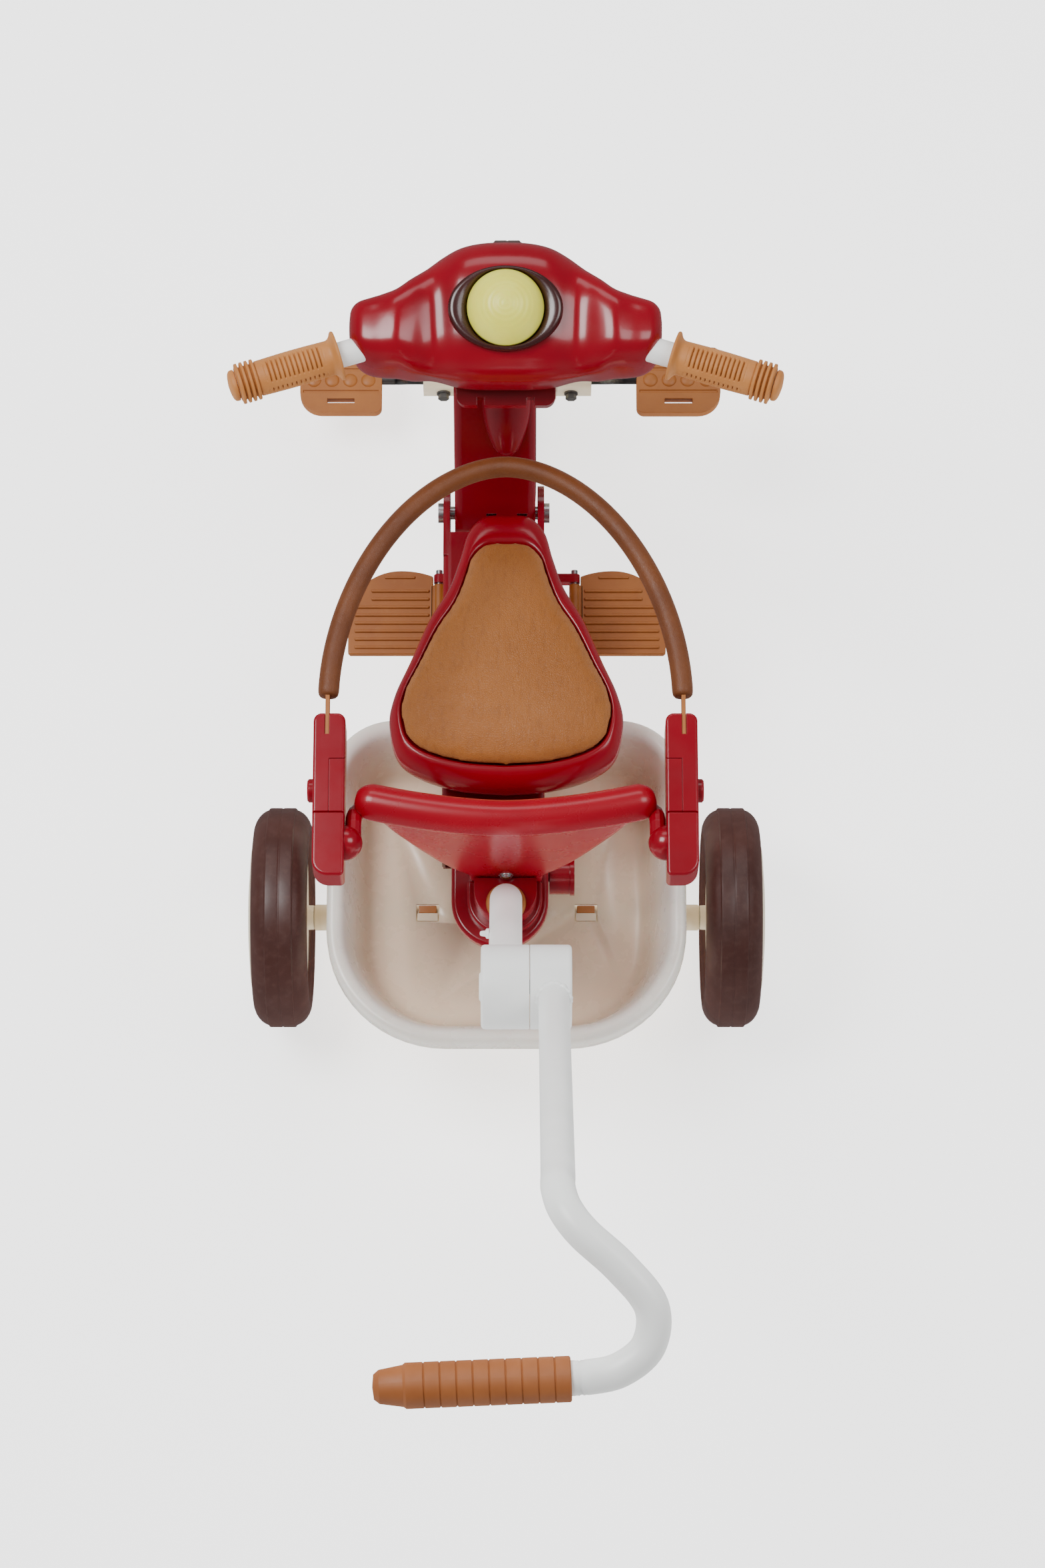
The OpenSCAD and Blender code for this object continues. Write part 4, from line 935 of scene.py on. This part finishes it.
def pedals():
    """Pedals: a slotted block with grooves, and a row of domes on each face."""
    for side, name in SIDES:
        y0 = WHEELBASE - 3 + side * CRANK_R * math.cos(CRANK_ANGLE)
        z0 = FRONT_R + side * CRANK_R * math.sin(CRANK_ANGLE)
        inner, outer, h = PEDAL_X, PEDAL_X + PEDAL_W, PEDAL_D / 2
        out = []
        for cx, cy, r, a0 in ((outer - 7, h - 7, 7, 0), (inner + 7, h - 7, 7, 90),
                              (inner + 7, -h + 7, 7, 180), (outer - 21, -h + 21, 21, 270)):
            for k in range(9):
                a = math.radians(a0 + 90 * k / 8)
                out.append((cx + r * math.cos(a), cy + r * math.sin(a)))
        plate = prism(out, lambda a, b, t: (side * a, y0 + b, z0 - 5 + 10 * t))
        o = piece("pedal_block_" + name, name + "_pedal", "tan_plastic", *plate, None,
                  ["pedal_" + name], smooth=False)
        tools = []
        for b in (-21, 21):
            lo_x, hi_x = sorted((side * (inner + 26), side * (inner + 52)))
            tools.append(brick((lo_x, y0 + b - 2.25, z0 - 9), (hi_x, y0 + b + 2.25, z0 + 9)))
        for b in (-11.2, 11.2):
            lo_x, hi_x = sorted((side * (inner + 3), side * (outer - 3)))
            for s in (1, -1):
                tools.append(brick((lo_x, y0 + b - 1.1, z0 + s * 5 - 1.2),
                                   (hi_x, y0 + b + 1.1, z0 + s * 5 + 1.2)))
        cut(o, tools)
        rounded(o, 0.8, 2, 40)
        domes = []
        for k in range(4):
            for s in (1, -1):
                m = frame_at((side * (inner + 13 + 17.3 * k), y0, z0 + s * 4.8), (0, 0, s))
                prof = [(6.9 * math.cos(a), 2.6 * math.sin(a) - 0.2)
                        for a in [math.pi / 2 * i / 8 for i in range(9)]]
                prof[-1] = (0.02, 2.4)
                domes.append(loft(placed(lathe(prof, 32), m)))
        v, f = join(domes)
        piece("pedal_domes_" + name, name + "_pedal", "tan_plastic", v, f)


# -------- CAD shapes with round edges
def refined(node, name, body, slot, width, angle=35, segments=3):
    """A piece with a CAD node's shape and rounded edges."""
    bm = bmesh.new()
    bm.from_mesh(NODES[node].data)
    bmesh.ops.remove_doubles(bm, verts=bm.verts, dist=0.02 / 1000)
    bmesh.ops.dissolve_limit(bm, angle_limit=math.radians(2), verts=bm.verts, edges=bm.edges)
    mesh = bpy.data.meshes.new(name)
    bm.to_mesh(mesh)
    bm.free()
    o = link(name, mesh)
    finish_piece(o, body, slot, None, [node])
    rounded(o, width, segments, angle)
    even_normals(o)


def u_shape(left, right, rear, front, z0, z1):
    """A plate with a straight front and a half-round rear."""
    r = (right - left) / 2
    out = [(right, front), (left, front)]
    for k in range(25):
        a = math.pi + math.pi * k / 24
        out.append((left + r + r * math.cos(a), rear + r + r * math.sin(a)))
    return prism(out, lambda a, b, t: (a, b, z0 + (z1 - z0) * t))


def tower():
    """The tower behind the seat: U plate, a ledge, the raised inner U and the box below."""
    bush = loft(placed(lathe([(16.5, 170), (16.5, 330)], 48), frame_at((0, POST_Y, 0), (0, 0, 1))))
    for name, u, w, node in (
            ("tower_plate", (-48, 37, -76, 19, 254, 268), 4.0, "rear_housing"),
            ("tower_ledge", (-34, 31.5, -66, -18, 262, 276), 2.4, None),
            ("tower_inner", (-28, 27, -59.5, -21, 270, 296), 3.6, "housing_cover"),
            ("tower_seat", (-44, 33, -66, 19, 242, 255), 0.6, None)):
        v, f = u_shape(*u)
        o = piece(name, "chassis", "red_plastic", v, f, None, [node] if node else [])
        tools = [bush]
        if name == "tower_seat":
            tools.append(u_shape(-40, 29, -62, 20, 241, 254))
        cut(o, tools)
        all_smooth(o)
        rounded(o, w, 4, 40)
        even_normals(o)
    # hollow box on the beam, with a slot for the steering link
    o = piece("tower_box", "chassis", "red_plastic", *brick((-44, -14, 194), (33, 19, 243)), None,
              [], False)
    cut(o, [brick((-40, -10, 193), (29, 20, 244)), brick((-31, -16, 211), (-19, -8, 229))])
    rounded(o, 0.6, 2, 40)
    # boss round the fold knob's shaft
    m = frame_at((30, -3, 240), (1, 0, 0), (0, 1, 0))
    v, f = loft(placed(lathe([(5.1, 0), (11, 0), (11, 6.2), (10.2, 7), (5.1, 7)], 48), m),
                closed=True)
    piece("tower_boss", "chassis", "red_plastic", v, f)


def soft_block(x0, x1, y0, y1, z0, z1, radii, edge):
    """A block with round plan corners (+x+y, -x+y, -x-y, +x-y) and round top and bottom edges."""
    rings = []
    steps = [math.pi / 2 * k / 6 for k in range(7)]
    levels = [(edge * (1 - math.sin(a)), z0 + edge * (1 - math.cos(a))) for a in steps]
    levels += [(edge * (1 - math.cos(a)), z1 - edge * (1 - math.sin(a))) for a in steps]
    for inset, z in levels:
        ring = []
        for (cx, cy), r, a0 in zip(((x1, y1), (x0, y1), (x0, y0), (x1, y0)), radii,
                                   (0, 90, 180, 270)):
            sx, sy = (1 if cx == x1 else -1), (1 if cy == y1 else -1)
            q = max(r - inset, 0.3)
            for k in range(9):
                a = math.radians(a0 + 90 * k / 8)
                ring.append((cx - sx * (inset + q) + q * math.cos(a),
                             cy - sy * (inset + q) + q * math.sin(a), z))
        rings.append(ring)
    return loft(rings)


def hinge_tool(x0, x1, r):
    """A round cut about the guard's hinge."""
    m = frame_at((x0, HINGE_Y, HINGE_Z), (1, 0, 0), (0, 1, 0))
    return loft(placed(lathe([(r, 0), (r, x1 - x0)], 96), m))


def hinge_end(x0, x1, turn):
    """All that lies beyond the round end of a plate about the guard's hinge."""
    far, low, high = HINGE_Y + turn * 60, HINGE_Z - 30, HINGE_Z + 30
    out = [(HINGE_Y, low), (far, low), (far, high), (HINGE_Y, high)]
    for k in range(41):
        a = math.radians(90 - 180 * k / 40)
        out.append((HINGE_Y + turn * HINGE_R * math.cos(a), HINGE_Z + HINGE_R * math.sin(a)))
    return prism(out, lambda a, b, t: (x0 + (x1 - x0) * t, a, b))


def brackets():
    """The guard's side brackets: rear halves with a dome, and front halves that swing up."""
    g, half, rise = GUARD_X, 13.5, 17
    x0, x1 = g - half, g + half
    z0, z1 = HINGE_Z - rise, HINGE_Z + rise
    gap = 0.4  # between the halves' round faces
    ends = [hinge_end(x0 - 1, x1 + 1, turn) for turn in (1, -1)]
    for side, name in SIDES:
        def turn(part):
            return part if side > 0 else mirrored(part)

        def block(label, body, y0, y1, radii, stands, tools):
            v, f = turn(soft_block(x0, x1, y0, y1, z0, z1, radii, 2.4))
            o = piece("bracket_%s_%s" % (label, name), body, "red_plastic", v, f, None, stands)
            cut(o, [turn(t) for t in tools])
            all_smooth(o)
            o.data.set_sharp_from_angle(angle=math.radians(38))
            even_normals(o)
        block("rear", "chassis", -64, -2, (1, 1, 4, 13.5), ["rear_brackets"],
              [hinge_tool(x0 - 1, x1 + 1, HINGE_R + 1.3)])
        block("plate", "chassis", -16, 46, (1, 1, 1, 1), [],
              [brick((g - 0.1, -40, z0 - 13), (x1 + 2, 70, z1 + 13))] + ends)
        block("front", "guard", -16, 79, (7, 7, 1, 1), ["guard_brackets"],
              [ends[1], hinge_tool(x0 - 1, g + 0.1, HINGE_R + gap),
               hinge_tool(g + 6, x1 + 1, 10.3),
               brick((g + 0.2, 60, HINGE_Z), (g + 3.9, 81, z1 + 5))])
        dome_r, dome = 15, []
        for k in range(25):
            a = math.pi * k / 24
            dome.append((max(dome_r * math.sin(a), 0.02), -dome_r * math.cos(a)))
        m = frame_at((x0, -31, HINGE_Z), (0, 0, 1))
        piece("bracket_dome_" + name, "chassis", "red_plastic",
              *turn(loft(placed(lathe(dome, 64), m))))


def tongue():
    """The smooth tongue below the steering head."""
    top, tip = Vector((0, 417.7, 356.4)), Vector((0, 374, 297.6))
    path = [top.lerp(tip, k / 40) for k in range(41)]

    def radius(t):
        """Swells and narrows along the tongue, and closes at its tip."""
        body = 22.5 * (1 - t) + 8.5 * t + 4.6 * math.sin(math.pi * t)
        return body * math.sqrt(max(2e-4, 1 - max(0.0, (t - 0.84) / 0.161) ** 2.2))
    v, f = loft(sweep(path, radius, (1, 0, 0), 48))
    piece("head_tongue", "front_section", "red_metal", v, f)


def collars():
    """Ivory collars between the basket and the rear wheels."""
    for side, name in SIDES:
        m = frame_at((side * 163.5, 0, REAR_R), (side, 0, 0), (0, 1, 0))
        v, f = loft(placed(lathe([(11.0, 0.5), (11.3, 0), (11.9, 0.4), (11.9, 10.8), (11.4, 11.2),
                                  (11.0, 11.2)], 48), m), closed=True)
        piece("axle_collar_" + name, "chassis", "ivory_metal", v, f)


def hardware():
    """The tip of the lower tube's spring catch, and the bolt head on the backrest."""
    m = frame_at((-14, -92, 367), (-1, 0, 0), (0, 0, 1))
    v, f = loft(placed(lathe([(0.01, 0), (4.4, 0), (4.4, 2.2), (2.6, 3.4), (2.2, 6.6), (1.5, 7.8),
                              (0.01, 8.0)], 32), m))
    piece("tube_catch_tip", "tube_catch", "white_plastic", v, f, None, ["tube_button"])
    m = frame_at((0, -20.2, 302.5), (0, -1, 0))
    v, f = loft(placed(lathe([(0.01, 0), (6.4, 0), (6.4, 1.0), (5.4, 1.2), (5.0, 2.4), (3.8, 3.5),
                              (2.0, 4.1), (0.01, 4.3)], 40), m))
    piece("backrest_bolt_head", "chassis", "chrome", v, f, None, ["backrest_bolt"])


cowl()
horn_parts()
grips()
saddle()
backrest()
guard_ring()
wheels()
basket()
push_bar()
footrests()
pedals()
tower()
brackets()
refined("cowl_neck", "cowl_collar", "steering", "red_plastic", 2.0)
refined("axle_blocks", "axle_block_shells", "steering", "ivory_plastic", 1.6)
refined("rear_beam", "beam_shell", "chassis", "red_metal", 1.2, 50, 2)
tongue()
collars()
hardware()


# -------- floor, light and camera
def stage():
    """Pale floor, three soft lights and a camera at the photograph's angle; all in metres."""
    s = 60.0
    mesh = bpy.data.meshes.new("floor")
    mesh.from_pydata([(-s, -s, 0), (s, -s, 0), (s, s, 0), (-s, s, 0)], [], [(0, 1, 2, 3)])
    floor = link("floor", mesh)
    m = Mat("floor_look", (252, 252, 252), 0.75).tones((250, 250, 250), 3.0)
    m.set("Specular IOR Level", 0.2)
    m.set("Emission Color", (1, 1, 1, 1)).set("Emission Strength", 1.9)
    floor.data.materials.append(m.done())
    floor.visible_glossy = False  # a bright floor would wash out every glossy side

    world = bpy.data.worlds.new("studio")
    bpy.context.scene.world = world
    world.use_nodes = True
    background = world.node_tree.nodes["Background"]
    background.inputs["Color"].default_value = (1, 1, 1, 1)
    background.inputs["Strength"].default_value = 0.2

    def area(name, at, look, power, size, size_y):
        light = bpy.data.lights.new(name, "AREA")
        light.energy, light.shape = power, "RECTANGLE"
        light.size, light.size_y = size, size_y
        o = bpy.data.objects.new(name, light)
        o.location = at
        o.rotation_euler = (Vector(look) - Vector(at)).to_track_quat("-Z", "Y").to_euler()
        bpy.context.scene.collection.objects.link(o)

    area("key", (-1.3, 0.3, 3.0), (0, -0.1, 0.2), 84, 1.3, 1.3)
    area("fill", (1.7, 0.1, 2.8), (0, -0.1, 0.2), 38, 1.2, 1.6)
    area("back", (0.0, 2.4, 2.6), (0, 0.2, 0.3), 22, 2.4, 1.0)

    cam = bpy.data.cameras.new("camera")
    cam.lens, cam.sensor_width, cam.sensor_fit = 101.0, 36.0, "AUTO"
    cam.clip_end = 300
    o = bpy.data.objects.new("camera", cam)
    target, distance, tilt = V(14.3, 116, 137.7), 4.018, math.radians(18)
    o.location = target + distance * Vector((0, -math.sin(tilt), math.cos(tilt)))
    o.rotation_euler = (tilt, 0, 0)
    bpy.context.scene.collection.objects.link(o)
    bpy.context.scene.camera = o


stage()
